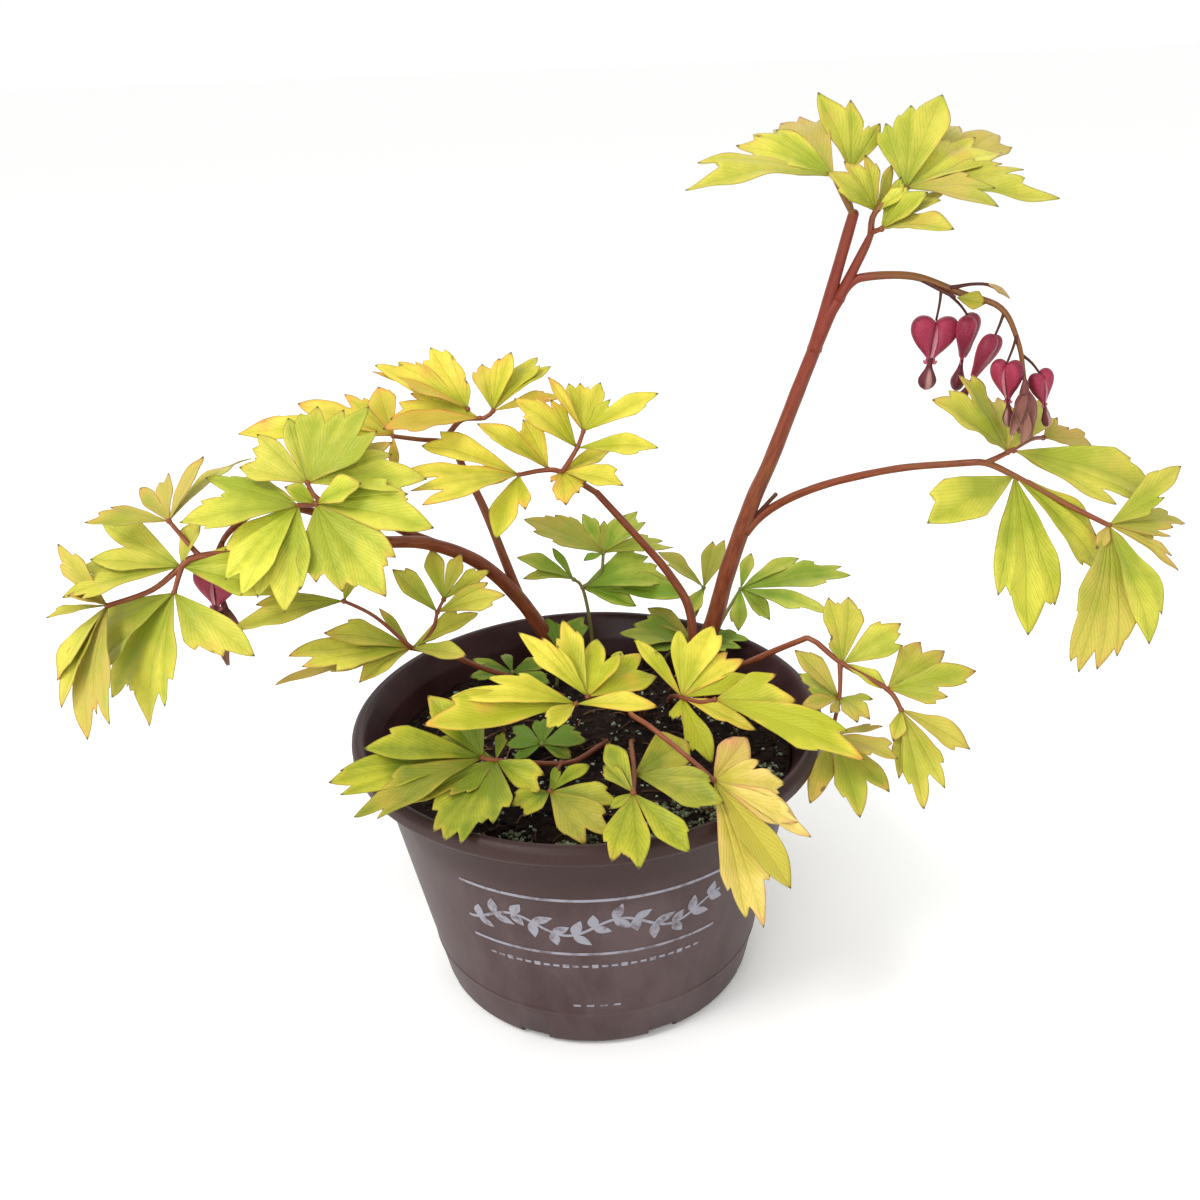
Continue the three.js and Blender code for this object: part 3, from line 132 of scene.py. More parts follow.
# Fronds: which way their leaflets face, their stalks, and their hubs with the leaflets that spread from
# each. A leaflet's row: where its tip is from the hub, half its lobes' width as a share of their length,
# each side lobe's angle off the midrib and share of the length, how tan it is or, below 0, how green, and
# its roll.
FRONDS = [
    dict(name="frond_top_left", tone="lime", face=(0, -60, 80),
         stalks=[
             ([(110, 22, 324), (105, 16, 331), (100, 12, 339)], (1.4, 0.9)),
             ([(108, 19, 327), (108, 26, 333), (110, 30, 339)], (1, 0.8)),
         ],
         hubs=[
             ((100, 12, 339), [
                 (-55, -17, 3, 0.08, [(-11, 0.92)], 0.45, 8),
                 (-35, 4, 13, 0.16, [(-25, 0.76), (-12, 0.85)], 0.15, 0),
                 (-15, 40, 18, 0.13, [(-10, 0.94)], 0.95, 0),
             ]),
             ((110, 30, 339), [
                 (-12, 10, 28, 0.2, [(-55, 0.65), (-23, 0.81), (-2, 0.74)], 0.25, 0),
             ]),
         ]),
    dict(name="frond_top_right", tone="lime", face=(0, -60, 80),
         stalks=[
             ([(117, 22, 316), (118, 20, 325), (129, 20, 333)], (1.3, 0.9)),
             ([(117, 22, 317), (120, 17, 319)], (0.9, 0.9)),
         ],
         hubs=[
             ((129, 20, 333), [
                 (18, 24, 32, 0.17, [(16, 0.81), (36, 0.63)], 0.3, 0),
                 (48, 42, 16, 0.11, [(-9, 0.93), (13, 0.84)], 0.85, 0),
                 (41, 18, 10, 0.12, [(9, 0.64), (15, 0.93)], 0.1, -10),
                 (55, -12, -5, 0.08, [(17, 0.8), (26, 0.68)], 0.4, -12),
                 (27, -30, -4, 0.1, [(12, 0.86)], 0.8, 0),
             ]),
             ((120, 17, 319), [
                 (20, -26, 3, 0.18, [(5, 0.58), (43, 0.82)], 0.5, 0),
                 (14, -11, 14, 0.24, [(46, 0.87)], 0.3, 0),
             ]),
             ((118, 20, 325), [
                 (-13, -4, 19, 0.2, [(-68, 0.84), (-29, 0.89), (22, 1.24)], 0.25, 0),
                 (11, -4, 9, 0.24, [], 0.2, 0),
             ]),
         ]),
    dict(name="frond_right", tone="lime", face=(30, -55, 78),
         stalks=[
             ([(152, -6, 232), (160, -10, 233), (171, -12, 228), (188, -18, 219), (205, -25, 211)],
               (1.4, 0.9)),
             ([(160, -10, 233), (168, -10, 237), (181, 2, 238), (189, 10, 236)], (1, 0.8)),
         ],
         hubs=[
             ((168, -10, 237), [
                 (-35, -12, 25, 0.16, [(-29, 0.83)], 0.3, 0),
                 (3, 25, 17, 0.14, [(15, 0.87)], 0.45, 0),
                 (26, 29, 10, 0.1, [(6, 1)], 0.3, 0),
             ]),
             ((171, -8, 237), [
                 (64, 5, -21, 0.11, [(-21, 0.66), (-10, 0.75), (5, 0.66)], 0.3, 10),
             ]),
             ((189, 10, 236), [
                 (23, 5, -5, 0.2, [(23, 0.61), (49, 0.56)], 0.9, 0),
             ]),
             ((171, -12, 228), [
                 (-40, -29, -5, 0.18, [], 0.2, 0),
                 (-1, -37, -50, 0.12, [(-17, 0.83), (13, 0.86)], 0.1, 0),
                 (33, -17, -35, 0.18, [(12, 0.8)], 0.15, 0),
             ]),
             ((205, -25, 211), [
                 (33, 17, 17, 0.1, [(-13, 0.61)], 0.4, 0),
                 (38, 14, -5, 0.07, [(-19, 0.63), (-10, 0.68)], 0.6, 0),
                 (27, -8, -16, 0.06, [(7, 0.86)], 0.8, 0),
                 (6, -37, -32, 0.15, [(13, 0.81)], 0.2, 0),
                 (-15, -43, -40, 0.1, [(-11, 1.02), (-7, 1.07), (6, 0.91)], 0.65, 0),
                 (-8, -11, -5, 0.2, [], 0.9, 0),
             ]),
         ]),
    dict(name="frond_left_star", tone="lime", face=(-10, -60, 80),
         stalks=[
             ([(-77, 36, 196), (-89, 28, 207), (-101, 16, 216), (-107, 9, 220)], (1.9, 1.3)),
             ([(-104, 11, 219), (-108, 10, 224), (-110, 12, 228)], (1, 0.9)),
             ([(-107, 9, 220), (-114, 8, 220)], (1, 0.9)),
         ],
         hubs=[
             ((-110, 12, 228), [
                 (-28, 4, 6, 0.16, [(-58, 1.05), (-31, 1.08)], 0.35, 0),
                 (3, 24, 26, 0.15, [(-55, 1), (-35, 1.16), (-21, 0.96)], 0.25, 0),
                 (48, 6, 0, 0.15, [(17, 0.76)], 0.2, 0),
                 (33, 18, 10, 0.1, [], 0.9, 0),
             ]),
             ((-107, 9, 220), [
                 (48, -11, -7, 0.14, [(17, 0.76), (39, 0.46)], 0.1, 0),
                 (21, -5, 10, 0.27, [], -0.25, 0),
                 (-11, -4, 9, 0.3, [], -0.25, 0),
                 (31, -31, -30, 0.14, [(-32, 0.7), (-17, 0.83), (17, 0.83)], 0.15, 0),
             ]),
             ((-114, 8, 220), [
                 (-44, -16, 1, 0.13, [(-50, 0.59), (-31, 0.85)], 0.1, 10),
                 (-3, -36, -32, 0.16, [(-16, 0.89), (10, 0.82)], 0.15, 0),
                 (-27, -28, -20, 0.17, [(-14, 0.78), (14, 1.04)], 0, 0),
             ]),
         ]),
    dict(name="frond_left_back", tone="gold", face=(-10, -50, 85),
         stalks=[
             ([(-56, 60, 228), (-62, 58, 230), (-69, 54, 232), (-79, 47, 236)], (1.2, 0.9)),
         ],
         hubs=[
             ((-79, 47, 236), [
                 (-42, 9, 14, 0.12, [(-22, 0.65)], 0.35, 0),
                 (-7, 17, 18, 0.26, [], 0.6, 0),
                 (2, -13, -10, 0.12, [], 0.9, 0),
                 (-67, 1, 5, 0.09, [(-4, 0.83)], 0, 0),
             ]),
         ]),
    dict(name="frond_far_left", tone="lime", face=(-45, -40, 80),
         stalks=[
             ([(-83, 22, 197), (-105, 14, 200), (-127, 4, 203), (-153, -6, 205), (-160, -9, 202),
               (-172, -13, 194), (-188, -20, 191)], (1.8, 0.9)),
             ([(-160, -9, 202), (-163, -14, 193)], (1, 0.9)),
             ([(-153, -6, 205), (-158, -4, 211), (-164, -2, 219)], (1, 0.9)),
         ],
         hubs=[
             ((-160, -9, 202), [
                 (-42, -17, -3, 0.14, [(-18, 0.9)], 0.3, 0),
                 (-34, -3, 6, 0.16, [(-27, 1.07)], 0.35, 0),
                 (40, -3, -13, 0.2, [(28, 0.71)], 0.1, 0),
                 (8, 11, 16, 0.34, [], 0.5, 0),
             ]),
             ((-163, -14, 193), [
                 (-10, -30, -43, 0.14, [(-26, 0.93), (14, 0.87)], 0.2, 0),
                 (-30, -20, -26, 0.16, [(-29, 0.88)], 0.35, 0),
                 (33, -20, -20, 0.13, [(-16, 0.73)], 0.25, 0),
             ]),
             ((-164, -2, 219), [
                 (-29, -10, 4, 0.13, [(-20, 0.74)], 0.6, 0),
                 (12, 18, 21, 0.15, [(37, 0.81), (68, 0.96)], 0.9, 0),
                 (25, 40, 15, 0.07, [(5, 0.74)], 0.6, 0),
             ]),
             ((-188, -20, 191), [
                 (-16, 4, 25, 0.1, [], 0.7, 0),
                 (-11, -8, 9, 0.34, [], 1, 0),
                 (-19, -14, 2, 0.1, [], 0.5, 0),
                 (-17, -22, -22, 0.2, [], 0.25, 0),
                 (-14, -30, -29, 0.13, [], 0.35, 0),
                 (-6, -36, -40, 0.11, [(10, 0.84), (20, 0.95)], 0.85, 0),
             ]),
         ]),
    dict(name="frond_mid_left", tone="gold", face=(0, -50, 86),
         stalks=[
             ([(-57, 60, 232), (-50, 58, 239), (-40, 56, 240), (-36, 56, 243)], (1.3, 0.9)),
             ([(-50, 58, 239), (-47, 57, 244)], (0.9, 0.9)),
         ],
         hubs=[
             ((-47, 57, 244), [
                 (-37, -7, 23, 0.12, [(-19, 0.56), (-10, 0.79)], 0.05, 0),
                 (-39, -11, 21, 0.04, [], 1, 0),
                 (-16, 15, 24, 0.16, [(-27, 0.39), (-14, 0.74)], 0.1, 0),
             ]),
             ((-42, 56, 240), [
                 (-37, -10, 4, 0.14, [(-24, 0.81)], 0.15, 0),
                 (-40, -20, 2, 0.13, [], 1, 0),
             ]),
             ((-36, 56, 243), [
                 (-5, 25, 15, 0.14, [], 0.3, 0),
                 (9, 18, 21, 0.14, [(10, 0.86)], 0.1, 0),
                 (20, 28, 16, 0.1, [], 0.3, 0),
                 (26, 23, 14, 0.08, [], 0.2, 0),
                 (30, 16, 1, 0.09, [(-4, 0.72)], 0.8, 0),
             ]),
         ]),
    dict(name="frond_mid_right", tone="gold", face=(0, -50, 86),
         stalks=[
             ([(8, 54, 204), (-7, 52, 215), (-15, 50, 217), (-26, 48, 216)], (1.4, 0.9)),
             ([(-7, 52, 215), (0, 52, 226), (3, 53, 233)], (1.1, 0.8)),
         ],
         hubs=[
             ((-13, 51, 217), [
                 (-28, -10, 25, 0.14, [], 0.1, 0),
                 (-10, 9, 21, 0.2, [], 0.15, 0),
             ]),
             ((-26, 48, 216), [
                 (-40, -4, 18, 0.13, [], 0.1, 0),
                 (-49, -22, 8, 0.09, [(12, 1.01), (23, 1)], 0.05, 0),
                 (-10, -24, -20, 0.2, [(27, 0.59)], 0.1, 0),
             ]),
             ((0, 52, 226), [
                 (-25, -2, 24, 0.15, [(-24, 0.68)], 0.1, 0),
                 (35, -12, 4, 0.12, [], 0, 0),
             ]),
             ((3, 53, 233), [
                 (-1, 17, 17, 0.18, [(-22, 1.02), (12, 1.01)], 0.35, 0),
                 (-14, 3, 24, 0.1, [], 0.3, 0),
                 (33, -3, 17, 0.16, [(26, 0.5)], 0.1, 0),
             ]),
             ((-7, 52, 215), [
                 (22, 11, 6, 0.18, [], 0.1, 0),
                 (26, -16, -1, 0.17, [], 0.1, 0),
                 (1, -18, -9, 0.25, [(-39, 0.46), (23, 0.85), (46, 0.73)], 0.3, 0),
             ]),
         ]),
    dict(name="frond_low_left", tone="lime", face=(-10, -50, 85),
         stalks=[
             ([(-4, 50, 98), (-23, 44, 112), (-48, 26, 133), (-58, 18, 143), (-75, 10, 152)], (1.5, 1)),
             ([(-72, 11, 151), (-66, 18, 157), (-64, 22, 163), (-61, 24, 168)], (0.9, 0.7)),
             ([(-75, 10, 152), (-88, 5, 170), (-99, 0, 180)], (0.9, 0.7)),
         ],
         hubs=[
             ((-75, 10, 152), [
                 (-32, -15, 17, 0.14, [(-46, 0.55)], 0.35, 0),
                 (-47, -23, 10, 0.11, [(9, 0.96)], 0.2, 0),
                 (-53, -28, 1, 0.05, [], 1, 0),
                 (-20, -21, -4, 0.16, [], 0.5, 0),
                 (28, 19, 7, 0.12, [], 0.2, 0),
                 (25, -13, 3, 0.15, [], 0.5, 0),
             ]),
             ((-64, 22, 163), [
                 (-18, 2, 20, 0.2, [], 0.4, 0),
                 (31, -10, 12, 0.15, [(16, 0.79)], 0.3, 0),
             ]),
             ((-61, 24, 168), [
                 (-6, 16, 18, 0.2, [(-36, 0.88)], 0.4, 0),
                 (21, 8, 10, 0.13, [], 0.2, 0),
             ]),
             ((-99, 0, 180), [
                 (-40, -24, 2, 0.11, [(-12, 0.77)], 0.4, 0),
                 (3, 12, 5, 0.22, [], 0.1, 0),
             ]),
         ]),
    dict(name="frond_back", tone="green", face=(0, -40, 90),
         stalks=[
             ([(4, 78, 98), (2, 83, 127), (-1, 85, 144), (-5, 84, 149)], (1, 0.7)),
             ([(-1, 85, 144), (8, 88, 149), (10, 92, 159)], (0.9, 0.7)),
         ],
         hubs=[
             ((-5, 84, 149), [
                 (-27, -4, 15, 0.18, [(-41, 0.6)], 0.2, 0),
                 (-24, -12, 8, 0.1, [], 0.3, 0),
             ]),
             ((-1, 85, 144), [
                 (44, -1, 4, 0.16, [(21, 0.84)], 0, 0),
                 (26, -11, -6, 0.2, [], -0.3, 0),
                 (52, -9, -2, 0.12, [], -0.2, 0),
             ]),
             ((10, 92, 159), [
                 (-38, 6, 18, 0.13, [(-15, 0.73), (11, 0.85)], 0.85, 0),
                 (-9, 15, 16, 0.15, [], 0.2, 0),
                 (1, 12, 13, 0.14, [], 0.7, 0),
                 (18, 13, 16, 0.16, [(-19, 0.96), (10, 0.83)], 0.1, 0),
                 (30, 5, 4, 0.1, [(-10, 1.16)], 0.3, 0),
                 (-10, -8, 0, 0.2, [], -0.6, 0),
             ]),
         ]),
    dict(name="frond_back_right", tone="green", face=(0, -40, 90),
         stalks=[
             ([(57, 58, 98), (61, 64, 118), (66, 69, 130), (76, 76, 144)], (1, 0.8)),
         ],
         hubs=[
             ((76, 76, 144), [
                 (52, -6, 8, 0.08, [(6, 0.94)], 0.2, 0),
                 (29, 8, 13, 0.12, [], 0.3, 0),
                 (39, -22, -4, 0.11, [], 0.1, 0),
                 (7, 14, 13, 0.16, [], 0.4, 0),
                 (13, -16, -9, 0.2, [], 0.4, 0),
                 (-3, -18, -13, 0.18, [], 0, 0),
             ]),
         ]),
    dict(name="frond_back_mid", tone="green", face=(0, -40, 90),
         stalks=[
             ([(42, 72, 98), (47, 75, 114), (51, 77, 124), (56, 80, 133), (59, 86, 141)], (0.9, 0.7)),
         ],
         hubs=[
             ((59, 86, 141), [
                 (-23, -9, 24, 0.15, [], 0.6, 0),
                 (6, 12, 20, 0.18, [(-12, 1.08)], 0.6, 0),
                 (-10, -16, -8, 0.22, [], 0.2, 0),
             ]),
         ]),
    # Takes the deep leaf, darker as painted shade under the canopy.
    dict(name="frond_back_low", tone="deep", face=(0, -40, 90),
         stalks=[
             ([(33, 76, 98), (41, 75, 111), (52, 72, 119)], (0.9, 0.7)),
         ],
         hubs=[
             ((52, 72, 119), [
                 (-22, 8, 15, 0.2, [], 0.9, 0),
                 (-29, -4, 13, 0.14, [(12, 1.24)], 0.3, 0),
                 (-27, -14, 4, 0.2, [], -0.1, 0),
                 (26, -20, 9, 0.1, [(-13, 0.99)], -0.2, 0),
             ]),
         ]),
    dict(name="frond_front_yellow", tone="gold", face=(0, -50, 86),
         stalks=[
             ([(19, 36, 98), (15, 10, 121), (8, -12, 136), (1, -25, 144)], (1.4, 0.9)),
         ],
         hubs=[
             ((1, -25, 144), [
                 (-27, 9, 27, 0.09, [(-15, 0.63), (-8, 0.78)], 0, 0),
                 (-10, 27, 22, 0.11, [], 0.15, 0),
                 (5, 25, 15, 0.17, [(-27, 0.83)], 0, 0),
                 (29, 17, -1, 0.17, [(0, 0.64), (21, 1.04)], -0.15, 0),
             ]),
             ((-4, -27, 142), [
                 (33, -7, 1, 0.12, [], 0.2, 0),
                 (-48, -17, 17, 0.08, [(-10, 0.73)], 0, 0),
                 (-58, -33, 10, 0.1, [(-9, 0.61)], -0.45, 0),
                 (-11, -19, 1, 0.2, [], 0.5, 0),
             ]),
         ]),
    dict(name="frond_front_left", tone="fresh", face=(-10, -50, 86),
         stalks=[
             ([(12, 19, 98), (5, -8, 110), (-6, -26, 114), (-17, -38, 121), (-36, -50, 131),
               (-42, -51, 133)], (1.3, 0.9)),
             ([(-11, -31, 117), (-14, -50, 121), (-15, -60, 122)], (0.9, 0.7)),
         ],
         hubs=[
             ((-41, -51, 133), [
                 (-43, -15, 16, 0.12, [], 0.1, 0),
                 (-53, -29, 11, 0.1, [(-4, 0.92), (6, 0.97)], 0.1, 0),
                 (-44, -43, 2, 0.08, [(1, 0.74), (5, 0.92)], 0.4, 0),
                 (-21, 13, 23, 0.2, [(-27, 0.66)], -0.2, 0),
             ]),
             ((-36, -50, 131), [
                 (-16, -46, -5, 0.11, [(-6, 0.99), (7, 1.01), (20, 0.83)], 0.15, 0),
                 (-33, -34, 2, 0.1, [(12, 0.68)], 0.2, 0),
                 (18, -16, -5, 0.2, [(16, 0.9)], -0.1, 0),
                 (-24, 4, 9, 0.17, [(-84, 0.47)], -0.3, 0),
             ]),
             ((-15, -60, 122), [
                 (16, 14, 3, 0.16, [(37, 0.56)], -0.2, 0),
                 (26, -13, 3, 0.15, [], 0.3, 0),
                 (13, -29, -4, 0.13, [(17, 1.14)], 0.5, 0),
                 (-14, -14, 4, 0.21, [(19, 1.04)], -0.3, 0),
             ]),
         ]),
    dict(name="frond_front_gold", tone="gold", face=(0, -50, 86),
         stalks=[
             ([(38, 46, 98), (38, 15, 120), (40, -18, 138)], (1.3, 0.9)),
             ([(40, -18, 138), (47, -24, 139), (53, -26, 141)], (0.9, 0.9)),
         ],
         hubs=[
             ((40, -18, 138), [
                 (-18, 13, 22, 0.1, [(-6, 0.67)], 0, 0),
                 (16, 25, 21, 0.16, [(25, 0.84)], 0, 0),
                 (27, 13, 11, 0.13, [(12, 0.91)], 0.05, 0),
                 (28, -24, -3, 0.08, [], 0.35, 0),
                 (10, -28, -15, 0.14, [(-40, 0.38), (-11, 0.55)], -1, 0),
                 (34, 4, 5, 0.14, [], -0.8, 0),
             ]),
             ((53, -26, 141), [
                 (32, -10, 3, 0.18, [(26, 0.81)], -0.45, 0),
                 (53, -40, -5, 0.09, [(8, 0.84)], -0.3, 0),
             ]),
         ]),
    dict(name="frond_front_low", tone="fresh", face=(0, -60, 80),
         stalks=[
             ([(21, 14, 98), (18, -36, 128), (18, -66, 135), (17, -84, 136)], (1.1, 0.9)),
         ],
         hubs=[
             ((17, -84, 136), [
                 (-9, 22, 9, 0.18, [], 0.1, 0),
                 (-11, 12, 5, 0.18, [], 0.1, 0),
                 (1, -32, -11, 0.14, [(-18, 0.95)], 0.1, 0),
                 (19, -26, -9, 0.16, [], 0.1, 0),
                 (-9, -8, -1, 0.17, [], 0.1, 0),
             ]),
             ((18, -70, 135), [
                 (32, -21, 0, 0.15, [(12, 0.83)], 0.4, 0),
                 (22, 21, 1, 0.27, [], 0.3, 0),
             ]),
         ]),
    dict(name="frond_front_pale", tone="pale", face=(25, -65, 72),
         stalks=[
             ([(27, 29, 98), (22, 0, 126), (18, -36, 142), (25, -52, 145), (39, -70, 141),
               (47, -79, 137)], (1.1, 0.9)),
         ],
         hubs=[
             ((47, -79, 137), [
                 (16, 21, 6, 0.22, [(16, 0.74)], 0.5, 0),
                 (27, 4, -5, 0.14, [(23, 0.72)], 0, 0),
                 (31, -9, -14, 0.16, [], 0, 0),
                 (36, -13, -18, 0.07, [], 0, 0),
                 (26, -22, -33, 0.12, [(2, 0.79)], -0.6, 0),
                 (10, -28, -42, 0.09, [(6, 1.08)], 0.1, 0),
             ]),
         ]),
    dict(name="frond_low_right", tone="lime", face=(20, -50, 84),
         stalks=[
             ([(54, 42, 98), (61, 24, 124), (78, 6, 144), (91, -5, 156), (94, -7, 158), (97, -9, 157),
               (107, -16, 150), (123, -28, 144), (128, -33, 137)], (1.5, 0.9)),
             ([(106, -16, 150), (105, -22, 137), (101, -28, 123)], (0.9, 0.8)),
         ],
         hubs=[
             ((107, -16, 150), [
                 (7, 25, 19, 0.19, [(19, 0.96), (38, 0.37)], 0.35, 0),
                 (25, 5, 15, 0.15, [(-20, 0.88)], 0.2, 0),
                 (17, -10, -7, 0.2, [], 0.2, 0),
             ]),
             ((123, -28, 144), [
                 (17, 16, 13, 0.16, [(-20, 1.16)], 0.7, 0),
                 (35, -2, 9, 0.14, [(-26, 0.69)], 0.35, 0),
             ]),
             ((128, -33, 137), [
                 (24, -19, -7, 0.17, [], 0.55, 0),
                 (4, -29, -30, 0.1, [(16, 0.86)], 0.4, 0),
                 (-5, -11, -8, 0.24, [], 0.2, 0),
                 (-3, -17, -22, 0.1, [], 0.5, 0),
             ]),
             ((105, -22, 137), [
                 (-14, 19, 3, 0.22, [(25, 0.61)], 0.2, 0),
                 (-16, 16, 15, 0.2, [], 1, 0),
                 (-18, -12, 4, 0.17, [(31, 0.6)], 0.8, 0),
                 (9, -17, 0, 0.2, [(-18, 1.06), (35, 0.75)], 0.5, 0),
             ]),
             ((101, -28, 123), [
                 (22, -26, 4, 0.1, [(31, 0.64)], 0.8, 0),
                 (5, -38, -15, 0.16, [(24, 0.84)], 0.45, 0),
                 (-13, -30, -12, 0.12, [(6, 0.79)], 0.6, 0),
             ]),
         ]),
    # The three low shoots take the deep leaf, darker as painted shade under the canopy.
    dict(name="shoot_left", tone="deep", face=(0, -30, 95),
         stalks=[
             ([(-34, 48, 98), (-35, 44, 120)], (0.9, 0.7)),
         ],
         hubs=[
             ((-35, 44, 120), [
                 (-19, 9, 3, 0.12, [], -0.2, 0),
                 (-20, -6, 1, 0.16, [(-26, 0.7)], -0.3, 0),
                 (-4, 13, 4, 0.2, [], -0.5, 0),
                 (16, 5, 1, 0.18, [(17, 0.93)], -0.4, 0),
                 (18, -8, -3, 0.17, [], -0.3, 0),
             ]),
         ]),
    dict(name="shoot_centre", tone="deep", face=(0, -30, 95),
         stalks=[
             ([(-20, 4, 98), (-20, -8, 112)], (0.9, 0.7)),
         ],
         hubs=[
             ((-20, -8, 112), [
                 (-16, 0, 0, 0.26, [(-34, 1)], -0.5, 0),
                 (-12, -8, -3, 0.2, [], -0.5, 0),
                 (4, 15, 5, 0.22, [(26, 0.87)], -0.5, 0),
                 (20, -5, 4, 0.22, [(27, 0.81)], -0.45, 0),
                 (13, -9, -3, 0.22, [], -0.5, 0),
             ]),
         ]),
    dict(name="shoot_back", tone="deep", face=(0, -30, 95),
         stalks=[
             ([(-16, 58, 98), (-13, 60, 122)], (0.9, 0.7)),
         ],
         hubs=[
             ((-13, 60, 122), [
                 (-6, 8, 15, 0.2, [(-16, 0.8)], -0.6, 0),
                 (12, 12, 13, 0.22, [(-18, 0.91)], -0.6, 0),
             ]),
         ]),
]

# ---------------------------------------------------------------- vector helpers


def unit(v):
    """A vector of length one."""
    return v / np.linalg.norm(v)


def turned(v, axis, angle):
    """v turned about a unit axis."""
    c, s = math.cos(angle), math.sin(angle)
    return v * c + np.cross(axis, v) * s + axis * (axis @ v) * (1 - c)


def smooth(x, low, high):
    """0 below low, 1 above high and a smooth step between."""
    t = np.clip((x - low) / (high - low), 0, 1)
    return t * t * (3 - 2 * t)


class Build:
    """Collects vertices, faces and their attributes in millimetres, then makes one object of them."""

    def __init__(self):
        self.points, self.faces, self.uvs, self.slots = [], [], [], []
        self.values = {}
        self.count = 0

    def add(self, points, faces, uvs=None, slot=0, **values):
        """Values are numbers for each point, which the materials read by their names."""
        points = np.asarray(points, float)
        self.points.append(points)
        self.faces += [tuple(int(i) + self.count for i in face) for face in faces]
        self.slots += [slot] * len(faces)
        if uvs is None:
            uvs = [[(0.0, 0.0)] * len(face) for face in faces]
        for corner in uvs:
            self.uvs += corner
        for name, value in values.items():
            self.values.setdefault(name, []).append((self.count, np.broadcast_to(value, len(points))))
        self.count += len(points)

    def make(self, name, materials, smooth_faces=True):
        """One object of all that was added, with a material for each slot."""
        mesh = bpy.data.meshes.new(name)
        mesh.from_pydata((np.concatenate(self.points) * MM).tolist(), [], self.faces)
        for material in materials:
            mesh.materials.append(material)
        mesh.polygons.foreach_set("material_index", self.slots)
        mesh.polygons.foreach_set("use_smooth", [smooth_faces] * len(self.faces))
        layer = mesh.uv_layers.new(name="surface")
        layer.data.foreach_set("uv", np.asarray(self.uvs, np.float32).ravel())
        for key, chunks in self.values.items():
            data = np.zeros(self.count, np.float32)
            for start, value in chunks:
                data[start:start + len(value)] = value
            mesh.attributes.new(key, "FLOAT", "POINT").data.foreach_set("value", data)
        mesh.update()
        piece = bpy.data.objects.new(name, mesh)
        bpy.context.scene.collection.objects.link(piece)
        return piece


def band(first, second, sides, inward=False):
    """The faces between two rings of points, from the number of each ring's first point."""
    faces = []
    for k in range(sides):
        j = (k + 1) % sides
        a, b, c, d = first + k, first + j, second + j, second + k
        faces.append((a, d, c, b) if inward else (a, b, c, d))
    return faces


def edge_faces(edge, under):
    """The narrow faces that join the edge of a sheet to that of its underside."""
    return [(q, p, under + p, under + q) for p, q in zip(edge, edge[1:] + edge[:1])]


def curve_points(route, longest):
    """Points and directions along a Catmull-Rom curve through the route, and each one's share of it."""
    stops = np.asarray(route, float)
    ends = np.vstack([2 * stops[0] - stops[1], stops, 2 * stops[-1] - stops[-2]])
    points, along, share = [], [], []
    spans = len(stops) - 1
    for i in range(spans):
        p0, p1, p2, p3 = ends[i:i + 4]
        parts = max(1, round(np.linalg.norm(p2 - p1) / longest))
        for k in range(0 if i == 0 else 1, parts + 1):
            t = k / parts
            m1, m2 = (p2 - p0) / 2, (p3 - p1) / 2
            points.append((2 * t**3 - 3 * t**2 + 1) * p1 + (t**3 - 2 * t**2 + t) * m1
                          + (3 * t**2 - 2 * t**3) * p2 + (t**3 - t**2) * m2)
            along.append(unit((6 * t**2 - 6 * t) * (p1 - p2) + (3 * t**2 - 4 * t + 1) * m1
                              + (3 * t**2 - 2 * t) * m2))
            share.append((i + t) / spans)
    return np.array(points), np.array(along), np.array(share)


# How uneven a stalk's width is, and how far up it the widening of its root reaches, in millimetres.
UNEVENNESS = 0.05
FLARE_LENGTH = 3.5


def add_tube(build, route, radii, sides, longest, flare=0.0, slot=0, seed=0.0, reach=0.0, **values):
    """A tapering stalk of slightly uneven width. A flare widens its root, where it leaves its parent."""
    if reach:
        end, before = np.asarray(route[-1], float), np.asarray(route[-2], float)
        route = [*route, tuple(end + unit(end - before) * reach)]
    centres, along, share = curve_points(route, longest)
    first, last = radii
    step = np.r_[0, np.cumsum(np.linalg.norm(np.diff(centres, axis=0), axis=1))]
    radius = first + (last - first) * share
    radius = radius * (1 + UNEVENNESS * np.array([noise.noise(Vector((s * 0.09, seed, 3.7))) for s in step]))
    radius = radius + flare * np.exp(-step / FLARE_LENGTH)
    normal = unit(np.cross(along[0], (0.3, 0.9, 0.2)))
    points = []
    for centre, direction, r in zip(centres, along, radius):
        normal = unit(normal - direction * (normal @ direction))
        side = np.cross(direction, normal)
        for k in range(sides):
            angle = 2 * math.pi * k / sides
            points.append(centre + r * (normal * math.cos(angle) + side * math.sin(angle)))
    faces, uvs = [], []
    for i in range(len(centres) - 1):
        faces += band(i * sides, (i + 1) * sides, sides)
        v0, v1 = step[i] / 10, step[i + 1] / 10
        for k in range(sides):
            u0, u1 = k / sides, (k + 1) / sides
            uvs.append([(u0, v0), (u1, v0), (u1, v1), (u0, v1)])
    # rounded ends
    for ring, sign in ((0, -1), (len(centres) - 1, 1)):
        tip = len(points)
        points.append(centres[ring] + along[ring] * sign * radius[ring] * 0.6)
        for k in range(sides):
            a, b = ring * sides + k, ring * sides + (k + 1) % sides
            faces.append((b, a, tip) if sign < 0 else (a, b, tip))
            uvs.append([(0, 0), (0, 0), (0, 0)])
    heights = np.r_[np.repeat(step, sides), step[0], step[-1]]
    build.add(points, faces, uvs, slot=slot, along=heights, **values)


# ---------------------------------------------------------------- leaflets

# A lobe is widest at this share of its length, and is rounded by powers towards its base and its tip.
WIDEST = 0.63
BASE_ROUNDNESS, TIP_ROUNDNESS = 1.15, (1.3, 2.2)
TIP_SLOPE = 0.78
